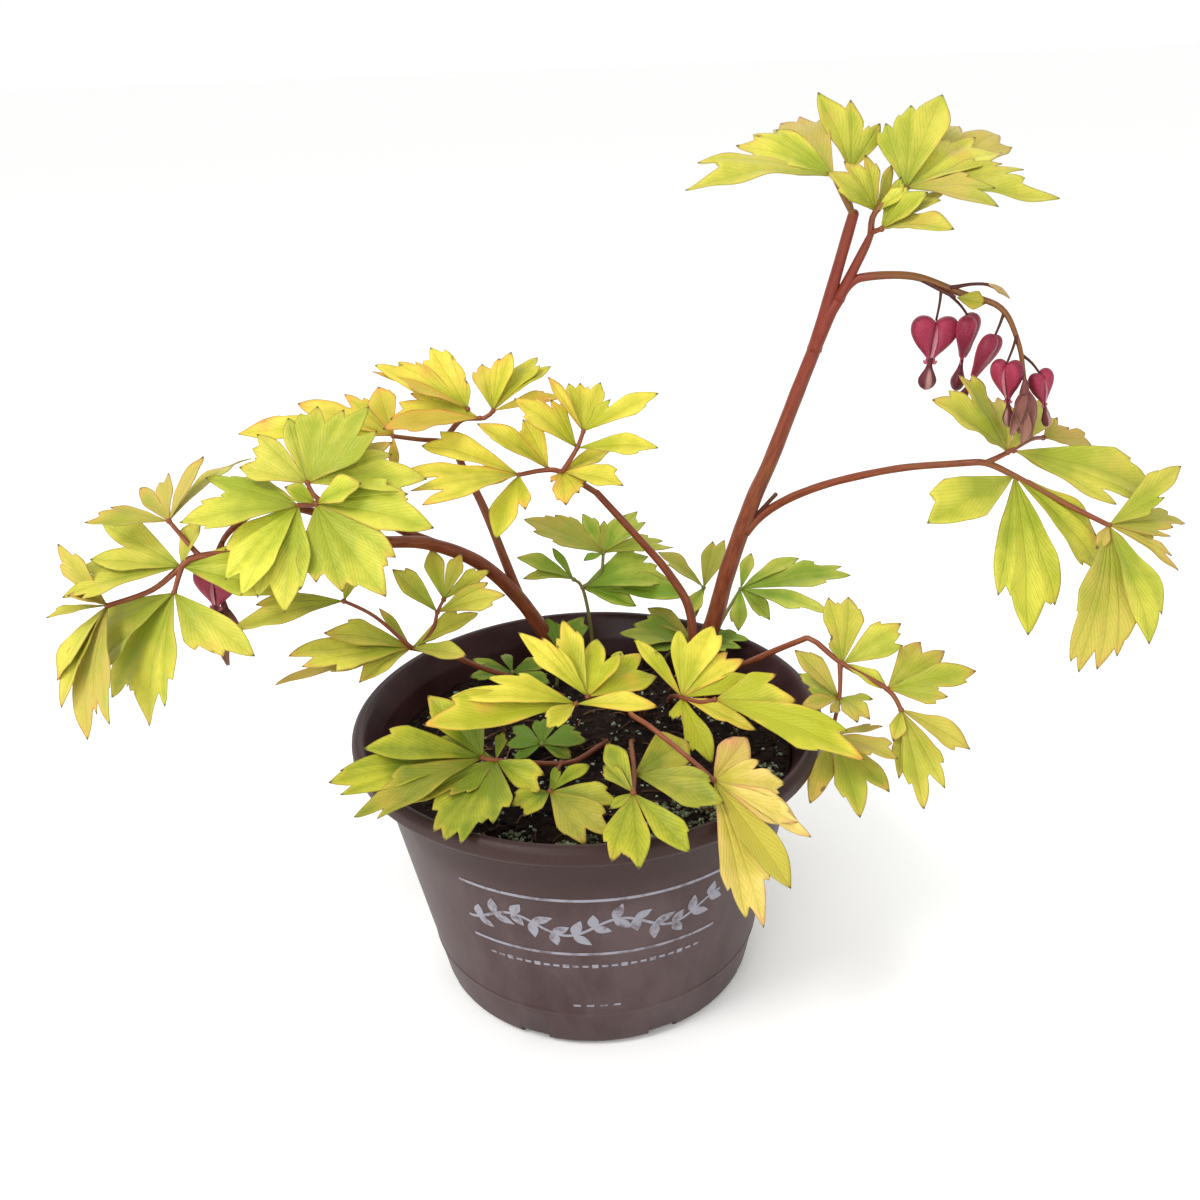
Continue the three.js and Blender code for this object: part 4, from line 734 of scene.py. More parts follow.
# Half the width of a tooth as a share of its length, and of a leaflet's middle and side lobes beside the
# width in its row.
TOOTH_WIDTH = 0.27
MIDDLE_LOBE, SIDE_LOBE = 1.04, 0.84
# A leaflet's thickness, and the gaps between points along its margin and out from its base.
BLADE = 0.36
MARGIN_STEP, RING_STEP = 1.7, 3.2
# How high a leaflet arches, as a share of its length.
ARCH = 0.035


def lobe_half(half_width, t):
    """Half the width of a lobe of unit length, at shares of its length: rounded shoulders, pointed tip."""
    low = 1 - np.clip((WIDEST - t) / WIDEST, 0, 1) ** BASE_ROUNDNESS
    roundness = np.clip(TIP_SLOPE * (1 - WIDEST) / half_width, *TIP_ROUNDNESS)
    high = 1 - np.clip((t - WIDEST) / (1 - WIDEST), 0, 1) ** roundness
    return half_width * np.where(t < WIDEST, low, high)


def lobe_polygon(root, angle, length, half_width):
    """A lobe that grows from a point: its outline as a closed polygon."""
    t = np.linspace(0, 1, 25)
    half = lobe_half(half_width, t)
    t = np.r_[t, t[-2:0:-1]]
    half = np.r_[half, -half[-2:0:-1]]
    c, s = math.cos(angle), math.sin(angle)
    return np.stack([root[0] + length * (t * c - half * s), root[1] + length * (t * s + half * c)], 1)


def ray_reach(polygon, phi):
    """How far a closed polygon reaches along rays from the origin, or 0 where a ray misses it."""
    p, q = polygon, np.roll(polygon, -1, axis=0)
    u = np.stack([np.cos(phi), np.sin(phi)], 1)[:, None]
    d = q - p
    across = u[..., 0] * d[:, 1] - u[..., 1] * d[:, 0]
    with np.errstate(divide="ignore", invalid="ignore"):
        w = -(u[..., 0] * p[:, 1] - u[..., 1] * p[:, 0]) / across
        r = u[..., 0] * (p[:, 0] + w * d[:, 0]) + u[..., 1] * (p[:, 1] + w * d[:, 1])
    r[~((w >= 0) & (w <= 1) & np.isfinite(r))] = 0
    return r.max(1)


def leaf_rays(width, lobes, rng, length, teeth):
    """Rays from a leaflet's base to its margin: angle, reach and the angle of the rib each belongs to, then
    every rib's angle and length. Teeth is how likely each lobe is to have a tooth on either side."""
    phi = np.radians(np.arange(-100, 100.01, 0.5))
    ribs, mains, reach = [], [], np.zeros(len(phi))
    for degrees, share in sorted([(0, 1.0), *lobes]):
        a = math.radians(degrees + rng.uniform(-1, 1))
        size = share * rng.uniform(0.98, 1.02)
        wide = width * rng.uniform(0.92, 1.08) * (MIDDLE_LOBE if degrees == 0 else SIDE_LOBE)
        ribs.append((a, size))
        mains.append(ray_reach(lobe_polygon((0, 0), a, size, wide), phi))
        for side in (-1, 1):
            if rng.uniform() > teeth:
                continue
            fork = size * rng.uniform(0.4, 0.5)
            lean = math.radians(rng.uniform(19, 27)) * side
            long = size * rng.uniform(0.36, 0.46) * min(1.0, 0.4 + 4 * width)
            root = (fork * math.cos(a), fork * math.sin(a))
            tooth = lobe_polygon(root, a + lean, long, TOOTH_WIDTH)
            reach = np.maximum(reach, ray_reach(tooth, phi))
    reach = np.maximum(reach, np.max(mains, 0))
    owner = np.argmax(mains, 0)
    nearest = np.argmin([abs(phi - a) for a, _ in ribs], 0)
    owner = np.where(np.max(mains, 0) > 0, owner, nearest)

    inside = np.flatnonzero(reach > 0.12)
    first, last = inside[0], inside[-1]
    inner = np.arange(first + 1, last)
    turns = inner[((reach[inner] >= reach[inner - 1]) & (reach[inner] > reach[inner + 1]))
                  | ((reach[inner] <= reach[inner - 1]) & (reach[inner] < reach[inner + 1]))]
    marks = [first, *turns, last]
    edge = np.stack([reach * np.cos(phi), reach * np.sin(phi)], 1)
    steps = np.r_[0, np.cumsum(np.linalg.norm(np.diff(edge, axis=0), axis=1))] * length
    chosen = []
    for low, high in zip(marks[:-1], marks[1:]):
        count = max(1, round((steps[high] - steps[low]) / MARGIN_STEP))
        at = np.linspace(steps[low], steps[high], count, endpoint=False)
        chosen += list(np.interp(at, steps[low:high + 1], phi[low:high + 1]))
    chosen.append(phi[last])
    chosen = np.array(chosen)
    index = np.rint(np.interp(chosen, phi, np.arange(len(phi)))).astype(int)
    rib = np.array([ribs[i][0] for i in owner[index]])
    return chosen, np.interp(chosen, phi, reach), rib, ribs


def add_leaflet(build, at, leaf, face, rng, tone=0.5, curl=1.0, teeth=0.55):
    """A thin lobed blade from its base to its tip: arched, folded up along its ribs and a little wavy."""
    dx, dy, dz, width, lobes, dull, roll = leaf
    along = np.array([dx, dy, dz], float)
    length = np.linalg.norm(along)
    along = along / length
    normal = np.asarray(face, float)
    normal = turned(unit(normal - along * (normal @ along)), along, math.radians(roll))
    across = np.cross(normal, along)

    phi, out, rib, ribs = leaf_rays(width, lobes, rng, length, teeth)
    rings = int(np.clip(round(length / RING_STEP), 6, 16))
    share = np.linspace(0, 1, rings + 1)[1:] ** 0.85
    reach = share[:, None] * out[None, :]
    t, v = reach * np.cos(phi), reach * np.sin(phi)
    off = reach * np.sin(phi - rib)
    rim = np.stack([out * np.cos(phi), out * np.sin(phi)], 1)
    rim = np.vstack([(0, 0), rim, (0, 0)])

    # distance to the margin and to the nearest lobe tip, in millimetres
    spots = np.stack([t.ravel(), v.ravel()], 1)
    a, b = rim[:-1], rim[1:]
    d = b - a
    w = np.clip(((spots[:, None] - a) * d).sum(2) / np.maximum((d * d).sum(1), 1e-12), 0, 1)
    margin = np.linalg.norm(spots[:, None] - (a + w[..., None] * d), axis=2).min(1) * length
    margin = margin.reshape(t.shape)
    margin[-1] = 0
    tips = np.array([(size * math.cos(x), size * math.sin(x)) for x, size in ribs])
    tip = np.linalg.norm(spots[:, None] - tips, axis=2).min(1).reshape(t.shape) * length

    arch = ARCH * rng.uniform(0.6, 1.9) * curl
    fold = math.radians(rng.uniform(5, 13))
    droop = rng.uniform(-0.02, 0.07) * curl
    phase, wave = rng.uniform(0, FULL_TURN), rng.uniform(0.6, 1.4)
    crease = np.sqrt(v * v + 0.0004) - 0.02
    lobe_crease = np.sqrt(off * off + 0.0003) - 0.017
    lift = 4 * arch * t * (1 - t) - droop * smooth(t, 0.5, 1.1) + crease * math.sin(fold)
    lift = lift + 0.12 * lobe_crease
    ripple = np.sin(9 * t + 5 * v / 0.3 + phase) + 0.6 * np.sin(17 * t - 11 * v + 2 * phase)
    lift = lift + 0.011 * wave * ripple * smooth(share, 0.2, 1.0)[:, None]
    lift = lift - 0.25 * arch * smooth(np.abs(v), 0.12, 0.5)
    base = np.asarray(at, float)

    def place(side):
        up = length * lift + side * BLADE / 2 * smooth(share, -0.3, 0.4)[:, None]
        points = (base + length * (t[..., None] * along + (v * math.cos(fold))[..., None] * across)
                  + up[..., None] * normal)
        return np.vstack([base + side * BLADE / 2 * normal, points.reshape(-1, 3)])

    top, bottom = place(1), place(-1)
    n = len(phi)
    under = 1 + rings * n
    scale = length / 10
    local = np.stack([reach * np.cos(phi - rib), off], -1) * scale
    faces, uvs = [], []
    for j in range(n - 1):
        same = rib[j] == rib[j + 1]

        def corner(i, k):
            if same or k == j:
                return tuple(local[i, k])
            p = reach[i, k] * scale
            return (p * math.cos(phi[k] - rib[j]), p * math.sin(phi[k] - rib[j]))

        p, q = 1 + j, 2 + j
        faces.append((0, p, q))
        uvs.append([(0.0, 0.0), corner(0, j), corner(0, j + 1)])
        faces.append((under, under + q, under + p))
        uvs.append([(0.0, 0.0), corner(0, j + 1), corner(0, j)])
        for i in range(rings - 1):
            p, q = 1 + i * n + j, 2 + i * n + j
            faces.append((p, p + n, q + n, q))
            uvs.append([corner(i, j), corner(i + 1, j), corner(i + 1, j + 1), corner(i, j + 1)])
            faces.append((under + p, under + q, under + q + n, under + p + n))
            uvs.append([corner(i, j), corner(i, j + 1), corner(i + 1, j + 1), corner(i + 1, j)])
    edge = [0, *[1 + i * n for i in range(rings)], *[1 + (rings - 1) * n + j for j in range(1, n)],
            *[n + i * n for i in range(rings - 2, -1, -1)]]
    faces += edge_faces(edge, under)
    uvs += [[(0.0, 0.0)] * 4] * len(edge)

    def both(array, centre):
        flat = np.r_[centre, array.ravel()]
        return np.r_[flat, flat]

    build.add(np.vstack([top, bottom]), faces, uvs,
              margin=both(margin, 0.0), tip=both(tip, length), along=both(t, 0.0), tone=tone, dull=dull,
              under=np.r_[np.zeros(under), np.ones(under)], turn=rng.uniform(0, 1))


# ---------------------------------------------------------------- materials

# How bright the lights and the world make a white surface.
LIT = 1.3


def srgb(red, green, blue):
    """The colour, in linear light, of a surface that looks like these values out of 255 where it is lit."""
    def channel(c):
        c /= 255
        return (c / 12.92 if c <= 0.04045 else ((c + 0.055) / 1.055) ** 2.4) / LIT
    return (channel(red), channel(green), channel(blue), 1.0)


class Surface:
    """One procedural material: short calls add nodes and give back their output sockets."""

    def __init__(self, name, roughness, specular):
        self.material = bpy.data.materials.new(name)
        self.material.use_nodes = True
        self.tree = self.material.node_tree
        self.shader = self.tree.nodes["Principled BSDF"]
        self.set("Roughness", roughness)
        self.set("Specular IOR Level", specular)

    def set(self, name, value):
        self.plug(self.shader.inputs[name], value)

    def plug(self, socket, value):
        if isinstance(value, bpy.types.NodeSocket):
            self.tree.links.new(value, socket)
        else:
            socket.default_value = value

    def node(self, kind, output=0, **inputs):
        """A name that starts with _ is a property of the node, and one such as i0 an input by its number."""
        made = self.tree.nodes.new(kind)
        for key, value in inputs.items():
            if key.startswith("_"):
                setattr(made, key[1:], value)
            elif key[0] == "i" and key[1:].isdigit():
                self.plug(made.inputs[int(key[1:])], value)
            else:
                self.plug(made.inputs[key], value)
        return made.outputs[output]

    def attribute(self, name):
        return self.node("ShaderNodeAttribute", "Fac", _attribute_name=name)

    def place(self):
        return self.node("ShaderNodeTexCoord", "Object")

    def uv(self):
        return self.node("ShaderNodeUVMap", 0, _uv_map="surface")

    def math(self, kind, a, b=0.0, clamp=False):
        return self.node("ShaderNodeMath", 0, _operation=kind, _use_clamp=clamp, i0=a, i1=b)

    def times(self, a, b, clamp=False):
        return self.math("MULTIPLY", a, b, clamp)

    def plus(self, a, b, clamp=False):
        return self.math("ADD", a, b, clamp)

    def ramp(self, value, low, high, out_low=0.0, out_high=1.0):
        return self.node("ShaderNodeMapRange", 0, _interpolation_type="SMOOTHSTEP", Value=value,
                         **{"From Min": low, "From Max": high, "To Min": out_low, "To Max": out_high})

    def noise(self, scale, vector=None, detail=3.0, rough=0.55):
        return self.node("ShaderNodeTexNoise", "Fac", Vector=vector or self.place(), Scale=scale,
                         Detail=detail, Roughness=rough)

    def mix(self, factor, a, b):
        made = self.tree.nodes.new("ShaderNodeMix")
        made.data_type = "RGBA"
        self.plug(made.inputs["Factor"], factor)
        self.plug(made.inputs[6], a)
        self.plug(made.inputs[7], b)
        return made.outputs[2]

    def stretched(self, vector, x, y, z):
        return self.node("ShaderNodeVectorMath", 0, _operation="MULTIPLY", i0=vector, i1=(x, y, z))

    def split(self, vector):
        made = self.tree.nodes.new("ShaderNodeSeparateXYZ")
        self.plug(made.inputs[0], vector)
        return made.outputs

    def finish(self, colour, height, strength, distance):
        """The material, with this colour and a fine relief."""
        self.set("Base Color", colour)
        relief = self.node("ShaderNodeBump", 0, Height=height, Strength=strength, Distance=distance)
        self.set("Normal", relief)
        return self.material


# Painted shade: the dull dark olive that darkens each leaflet towards its base, where the leaflets crowd at
# the hub.
LEAF_PAINTED_SHADE = srgb(92, 100, 26)
LEAF_RIM = srgb(120, 104, 36)
LEAF_BURNT = srgb(62, 40, 34)
# The fine veins: how far back they slant, and how many cross a centimetre of rib.
VEIN_SLANT = 2.6
VEINS_PER_CM = 2.7


def leaf_material(name, green, yellow, edge, under, dry, warm, vein=0.35):
    """A leaf: green by its base and ribs, yellower outwards, with a fine dark margin, burnt lobe tips and
    painted shade that darkens it towards its base.

    Edge is the warm tint of its margin, dry that of a dull leaf and under that of its underside. Warm and
    vein are how strong the tint of the margin and the veins are.
    """
    s = Surface(name, roughness=0.45, specular=0.2)
    tone, margin, tip = s.attribute("tone"), s.attribute("margin"), s.attribute("tip")
    along, turn, dull = s.attribute("along"), s.attribute("turn"), s.attribute("dull")
    u, v, _ = s.split(s.uv())
    wide = s.math("ABSOLUTE", v)

    blotch = s.noise(48.0, detail=3.0)
    fleck = s.noise(420.0, detail=2.0)
    yellowness = s.plus(tone, s.ramp(blotch, 0.3, 0.7, -0.38, 0.38))
    yellowness = s.plus(yellowness, s.ramp(along, 0.05, 0.95, -0.4, 0.25))
    yellowness = s.plus(yellowness, s.ramp(wide, 0.0, 0.45, -0.22, 0.05))
    yellowness = s.plus(yellowness, s.ramp(margin, 2.6, 0.3, 0.0, 0.2))
    yellowness = s.plus(yellowness, s.math("MINIMUM", dull, 0.0), clamp=True)
    colour = s.mix(yellowness, green, yellow)
    tan = s.times(s.math("MAXIMUM", dull, 0.0), s.ramp(blotch, 0.25, 0.6, 0.35, 1.0))
    colour = s.mix(tan, colour, dry)
    colour = s.mix(s.ramp(fleck, 0.45, 0.75, 0.0, 0.24), colour, green)

    # ribs: one along each lobe, and fine veins that leave it at a narrow angle
    rib = s.ramp(wide, 0.07, 0.0)
    slant = s.math("SUBTRACT", u, s.times(wide, VEIN_SLANT))
    slant = s.plus(slant, s.times(s.noise(26.0), 0.5))
    beat = s.math("SUBTRACT", s.math("FRACT", s.times(slant, VEINS_PER_CM)), 0.5)
    beat = s.math("ABSOLUTE", beat)
    lateral = s.times(s.ramp(beat, 0.16, 0.0), s.ramp(wide, 0.0, 0.05))
    between = s.times(s.ramp(beat, 0.3, 0.5), s.ramp(wide, 0.0, 0.08))
    veins = s.math("MAXIMUM", rib, s.times(lateral, 0.6))
    colour = s.mix(s.times(veins, vein * 0.7), colour, green)
    colour = s.mix(s.times(between, vein * 0.3), colour, under)
    # painted shade: darker and duller towards the leaflet's base
    shade = s.mix(0.5, green, LEAF_PAINTED_SHADE)
    colour = s.mix(s.ramp(along, 0.3, 0.0, 0.0, 0.5), colour, shade)

    patchy = s.plus(blotch, s.times(s.plus(turn, s.math("MAXIMUM", dull, 0.0)), 0.25))
    patchy = s.times(s.ramp(patchy, 0.55, 0.85), warm)
    colour = s.mix(s.times(s.ramp(margin, 1.6, 0.2), s.times(patchy, 0.8)), colour, edge)
    colour = s.mix(s.times(s.ramp(tip, 8.0, 0.5), patchy), colour, edge)
    colour = s.mix(s.ramp(margin, 0.34, 0.1, 0.0, 0.4), colour, LEAF_RIM)
    burnt = s.times(s.ramp(tip, 1.9, 0.5, 0.0, 0.85), s.ramp(margin, 2.2, 0.9))
    colour = s.mix(burnt, colour, LEAF_BURNT)

    below = s.attribute("under")
    pale = s.mix(s.times(veins, 0.4), under, yellow)
    colour = s.mix(s.times(below, 0.6), colour, pale)
    relief = s.plus(s.times(veins, -0.8), s.times(fleck, 0.3))
    return s.finish(colour, relief, 0.55, 0.0004)


def stalk_material(name, dark, light, green, greenness, high_red=False):
    """A smooth fleshy stalk with fine streaks along it, green in patches; crimson then olive up high."""
    s = Surface(name, roughness=0.38, specular=0.25)
    streaks = s.noise(4.0, s.stretched(s.uv(), 3.2, 0.25, 1.0), detail=3.0)
    patch = s.noise(26.0, detail=2.0)
    colour = s.mix(s.ramp(streaks, 0.25, 0.75), dark, light)
    green_here = s.ramp(patch, 0.62 - greenness * 0.5, 0.86 - greenness * 0.5)
    colour = s.mix(s.times(green_here, 0.75), colour, green)
    colour = s.mix(s.ramp(s.noise(700.0), 0.55, 0.75, 0.0, 0.25), colour, dark)
    if high_red:
        # above 20 cm the upright stalk turns crimson, and the flower stalk to its right olive
        x, _, z = s.split(s.place())
        top = s.ramp(z, 0.2, 0.29)
        colour = s.mix(s.times(top, s.ramp(x, 0.124, 0.11, 0.0, 0.6)), colour, srgb(140, 44, 38))
        colour = s.mix(s.times(top, s.ramp(x, 0.112, 0.135, 0.0, 0.6)), colour, srgb(126, 92, 46))
    return s.finish(colour, streaks, 0.12, 0.00015)


def petal_material(name, deep, bright, pale):
    """A petal: fine lines along it, paler at its lips, darker with painted shade at a heart's rounded edge
    and darker on a withered bloom's knot.
    """
    s = Surface(name, roughness=0.4, specular=0.2)
    lines = s.noise(9.0, s.stretched(s.uv(), 9.0, 0.7, 1.0), detail=3.0)
    colour = s.mix(s.ramp(lines, 0.3, 0.72), deep, bright)
    lip = s.attribute("lip")
    colour = s.mix(s.times(s.math("MAXIMUM", lip, 0.0), 0.85), colour, pale)
    # Where the lip value is below 0 the petal darkens: painted shade at a heart's rounded edge, and the knot
    # of a withered bloom.
    colour = s.mix(s.times(lip, -1.0, clamp=True), colour, s.mix(0.5, deep, srgb(40, 10, 20)))
    colour = s.mix(s.times(s.noise(260.0), 0.2), colour, deep)
    return s.finish(colour, lines, 0.4, 0.0002)


def pot_material():
    """Moulded plastic: matt and dusty outside, darker and smoother inside."""
    s = Surface("pot plastic", roughness=0.6, specular=0.2)
    inside = s.attribute("inside")
    dust = s.noise(34.0, s.stretched(s.place(), 1.0, 1.0, 0.35), detail=5.0, rough=0.65)
    grain = s.noise(1500.0, detail=2.0)
    _, _, z = s.split(s.place())
    colour = s.mix(s.ramp(dust, 0.3, 0.75), srgb(70, 44, 47), srgb(97, 78, 80))
    bloom = s.times(s.ramp(z, 0.102, 0.08), s.ramp(dust, 0.2, 0.6, 0.35, 0.75))
    colour = s.mix(bloom, srgb(48, 21, 17), colour)
    colour = s.mix(s.ramp(z, 0.014, 0.0, 0.0, 0.3), colour, srgb(70, 58, 55))
    colour = s.mix(s.times(grain, 0.12), colour, srgb(140, 126, 122))
    colour = s.mix(inside, colour, s.mix(s.ramp(dust, 0.35, 0.75), srgb(56, 32, 34), srgb(76, 48, 50)))
    s.set("Roughness", s.plus(s.times(dust, 0.2), s.math("SUBTRACT", 0.36, s.times(inside, 0.12))))
    return s.finish(colour, s.plus(s.times(grain, 0.5), dust), 0.18, 0.0003)


def print_material():
    """Pale screen-printed ink, worn thin in places."""
    s = Surface("pot print", roughness=0.6, specular=0.25)
    wear = s.noise(160.0, detail=5.0, rough=0.7)
    colour = s.mix(s.ramp(wear, 0.72, 0.46), srgb(98, 80, 82), srgb(152, 150, 160))
    return s.finish(colour, wear, 0.1, 0.0001)


def soil_material(name, dark, light):
    """Damp peat: dark, with a few dry grains."""
    s = Surface(name, roughness=0.95, specular=0.05)
    coarse, fine = s.noise(140.0, detail=6.0, rough=0.7), s.noise(900.0, detail=3.0)
    colour = s.mix(s.ramp(coarse, 0.35, 0.7), dark, light)
    colour = s.mix(s.times(s.ramp(fine, 0.64, 0.78), 0.4), colour, srgb(84, 68, 56))
    return s.finish(colour, s.plus(coarse, s.times(fine, 0.4)), 0.8, 0.0012)


def speck_material(name, one, other, roughness=0.85):
    """Loose bits, each of its own shade."""
    s = Surface(name, roughness=roughness, specular=0.1)
    pores = s.noise(1400.0, detail=2.0)
    colour = s.mix(s.attribute("tone"), one, other)
    colour = s.mix(s.times(pores, 0.3), colour, one)
    return s.finish(colour, pores, 0.5, 0.0003)


LEAF = dict(
    lime=leaf_material("leaf lime", srgb(160, 176, 42), srgb(230, 226, 80), srgb(220, 166, 86),
                       srgb(200, 198, 104), srgb(202, 176, 88), warm=0.5),
    fresh=leaf_material("leaf fresh", srgb(118, 138, 26), srgb(196, 194, 46), srgb(200, 158, 70),
                        srgb(176, 180, 98), srgb(184, 162, 76), warm=0.4),
    gold=leaf_material("leaf gold", srgb(184, 186, 40), srgb(250, 232, 84), srgb(238, 168, 76),
                       srgb(216, 208, 116), srgb(212, 184, 70), warm=0.7),
    # deep is a darker copy of the leaf for the low frond and shoots under the canopy: its darkness is
    # painted shade.
    deep=leaf_material("leaf deep painted shade", srgb(104, 136, 36), srgb(170, 188, 60), srgb(190, 160, 70),
                       srgb(140, 158, 80), srgb(176, 158, 70), warm=0.3),
    green=leaf_material("leaf green", srgb(136, 170, 46), srgb(216, 218, 90), srgb(204, 172, 78),
                        srgb(164, 178, 100), srgb(194, 172, 78), warm=0.3),
    pale=leaf_material("leaf pale", srgb(200, 186, 66), srgb(248, 218, 122), srgb(232, 160, 112),
                       srgb(222, 208, 142), srgb(218, 182, 94), warm=1.0, vein=0.5),
)
STALK_RED = stalk_material("stalk red", srgb(118, 56, 38), srgb(162, 94, 60), srgb(150, 116, 58), 0.15)
STALK_GREEN = stalk_material("stalk olive", srgb(126, 112, 62), srgb(170, 156, 92), srgb(120, 132, 64), 0.8)
STEM = stalk_material("stem", srgb(116, 53, 34), srgb(150, 82, 50), srgb(136, 93, 48), 0.12, high_red=True)
HUSK_DRY = stalk_material("dry husk", srgb(156, 120, 72), srgb(212, 184, 128), srgb(176, 150, 90), 0.2)
PEDICEL = stalk_material("pedicel", srgb(62, 26, 22), srgb(100, 46, 36), srgb(112, 76, 44), 0.2)
PETAL = petal_material("petal pink", srgb(126, 24, 48), srgb(200, 72, 104), srgb(238, 172, 186))
INNER = petal_material("inner petal", srgb(74, 22, 32), srgb(126, 52, 60), srgb(226, 176, 166))
WITHERED = petal_material("withered petal", srgb(98, 42, 48), srgb(160, 96, 86), srgb(212, 176, 144))

# ---------------------------------------------------------------- pieces


@functools.cache
def ball(level):
    """The corners and faces of a round body of the given fineness."""
    bm = bmesh.new()
    bmesh.ops.create_icosphere(bm, subdivisions=level, radius=1.0)
    shape = np.array([v.co[:] for v in bm.verts]), [tuple(v.index for v in f.verts) for f in bm.faces]
    bm.free()
    return shape


def keep(piece, nodes):
    """A piece rides on the plant's one body and stands for its nodes."""
    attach(piece, "root")
    if nodes:
        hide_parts(*nodes)


# How yellow each sort of leaf is, from 0 to 1, and how much its leaflets vary.
TONE = dict(lime=0.5, fresh=0.45, gold=0.55, green=0.45, deep=0.4, pale=0.6)
TONE_SPREAD = 0.28
# The radius of the swelling where a frond's stalk meets its leaflets.
KNUCKLE = 1.25
# A stem's stalk no thicker than this has the dark colour of a flower's thread.
THICK = 1.2


def add_knuckle(build, at, radius, slot=0):
    """The small swelling where stalks meet."""
    points, faces = ball(2)
    build.add(points * radius + np.asarray(at, float), faces, slot=slot)


def make_frond(frond, seed):
    """A frond: its stalks, and the leaflets that spread from each hub."""
    rng = np.random.default_rng(seed)
    build = Build()
    shade = TONE[frond["tone"]]
    for i, (route, radii) in enumerate(frond["stalks"]):
        add_tube(build, route, radii, sides=10, longest=2.5, flare=0.35 if i else 0.0, slot=1, seed=seed + i,
                 reach=0.8)
    for at, leaflets in frond["hubs"]:
        for leaf in leaflets:
            tone = shade + rng.uniform(-TONE_SPREAD, TONE_SPREAD)
            add_leaflet(build, at, leaf, frond["face"], rng, tone=tone)
    stalk = STALK_GREEN if frond["tone"] in ("green", "deep") else STALK_RED
    for at, _ in frond["hubs"]:
        add_knuckle(build, at, KNUCKLE, slot=1)
    piece = build.make(frond["name"] + "_leaves", [LEAF[frond["tone"]], stalk])
    keep(piece, [frond["name"]])


def make_stem(name, stalks, threads, seed):
    """A stem with its side stalks and the threads of its blooms. The first stalk is the stem itself."""
    build = Build()
    for i, (route, radii) in enumerate(stalks):
        thick = radii[0] > THICK
        add_tube(build, route, radii, sides=20 if i == 0 else 14, longest=2.5, flare=0.0 if i == 0 else 0.5,
                 slot=0 if thick else 1, seed=seed + i)
        if thick:
            add_knuckle(build, route[-1], radii[1] * 1.04, slot=0)
    for i, route in enumerate(threads):
        add_tube(build, route, THREAD, sides=8, longest=1.5, flare=0.15, slot=1, seed=seed + 20 + i)
    if name == "stem_tall":
        for route, radii in HUSK:
            add_tube(build, route, radii, sides=10, longest=0.8, slot=2)
    keep(build.make(name + "_stalks", [STEM, PEDICEL, HUSK_DRY]), [name])


# ---------------------------------------------------------------- blooms


def smooth_loop(points, per_span):
    """A closed Catmull-Rom curve through 2-D points."""
    p = np.asarray(points, float)
    out = []
    n = len(p)
    for i in range(n):
        p0, p1, p2, p3 = p[(i - 1) % n], p[i], p[(i + 1) % n], p[(i + 2) % n]
        for k in range(per_span):
            t = k / per_span
            out.append(0.5 * (2 * p1 + (p2 - p0) * t + (2 * p0 - 5 * p1 + 4 * p2 - p3) * t * t
                              + (3 * p1 - p0 - 3 * p2 + p3) * t**3))
    return np.array(out)


# One outer petal seen from the front: half of the heart, as shares of the bloom's width and height.
PETAL_HALF = [(0.006, -0.04), (0.05, 0.03), (0.13, 0.1), (0.25, 0.135), (0.37, 0.1), (0.465, -0.01),
              (0.5, -0.17), (0.48, -0.34), (0.41, -0.51), (0.3, -0.68), (0.18, -0.83), (0.1, -0.94),
              (0.06, -1.01), (0.012, -0.98), (0.006, -0.8), (0.004, -0.55), (0.004, -0.28)]
# The fullest spot of that petal, and its rings out from there, closer together towards its edge.
PETAL_MIDDLE = (0.22, -0.28)
PETAL_RINGS = (0.2, 0.4, 0.58, 0.72, 0.83, 0.91, 0.965, 1.0)
# Its turned-out tip, and the pale seam between the two petals, as shares of the bloom's size.
PETAL_TIP = ((0.02, 0, -0.94), (0.06, 0, -1.03), (0.11, 0, -1.06), (0.15, 0, -1.01))
PETAL_SEAM = ((0.16, -0.06), (0.3, -0.2), (0.33, -0.45), (0.26, -0.7), (0.14, -0.93))
TIP_WIDTHS = (0.09, 0.12, 0.09, 0.02)
SEAM_WIDTHS = (0.02, 0.07, 0.1, 0.08, 0.05)
# The drop of inner petals: radius and depth down it, as shares of the bloom's width and height.
DROP = [(0.05, -0.9), (0.052, -1.0), (0.06, -1.1), (0.085, -1.22), (0.14, -1.36), (0.178, -1.48),
        (0.172, -1.58), (0.13, -1.68), (0.07, -1.74), (0.02, -1.77)]
DROP_SIDES = 24
# A limp petal's width along it, in millimetres.
LIMP_WIDTHS = (1.8, 4.2, 5.0, 3.8, 1.4)


def thread_route(bloom):
    """A thread sags a little from its root to the top of its bloom."""
    root, at = np.asarray(bloom["root"], float), np.asarray(bloom["at"], float)
    middle = (root + at) / 2 + (0.4, 0.2, 0.5)
    return [root, middle, at + (0, 0, 0.2)]


def bloom_matrix(bloom):
    """Takes a bloom that hangs straight down from the origin to its place."""
    return (Matrix.Translation(Vector(bloom["at"]))
            @ Matrix.Rotation(math.radians(bloom["tilt"]), 4, "Y")
            @ Matrix.Rotation(math.radians(bloom["turn"]), 4, "Z"))


def placed(points, matrix):
    """Points moved by a matrix."""
    m = np.array(matrix)
    return np.asarray(points) @ m[:3, :3].T + m[:3, 3]


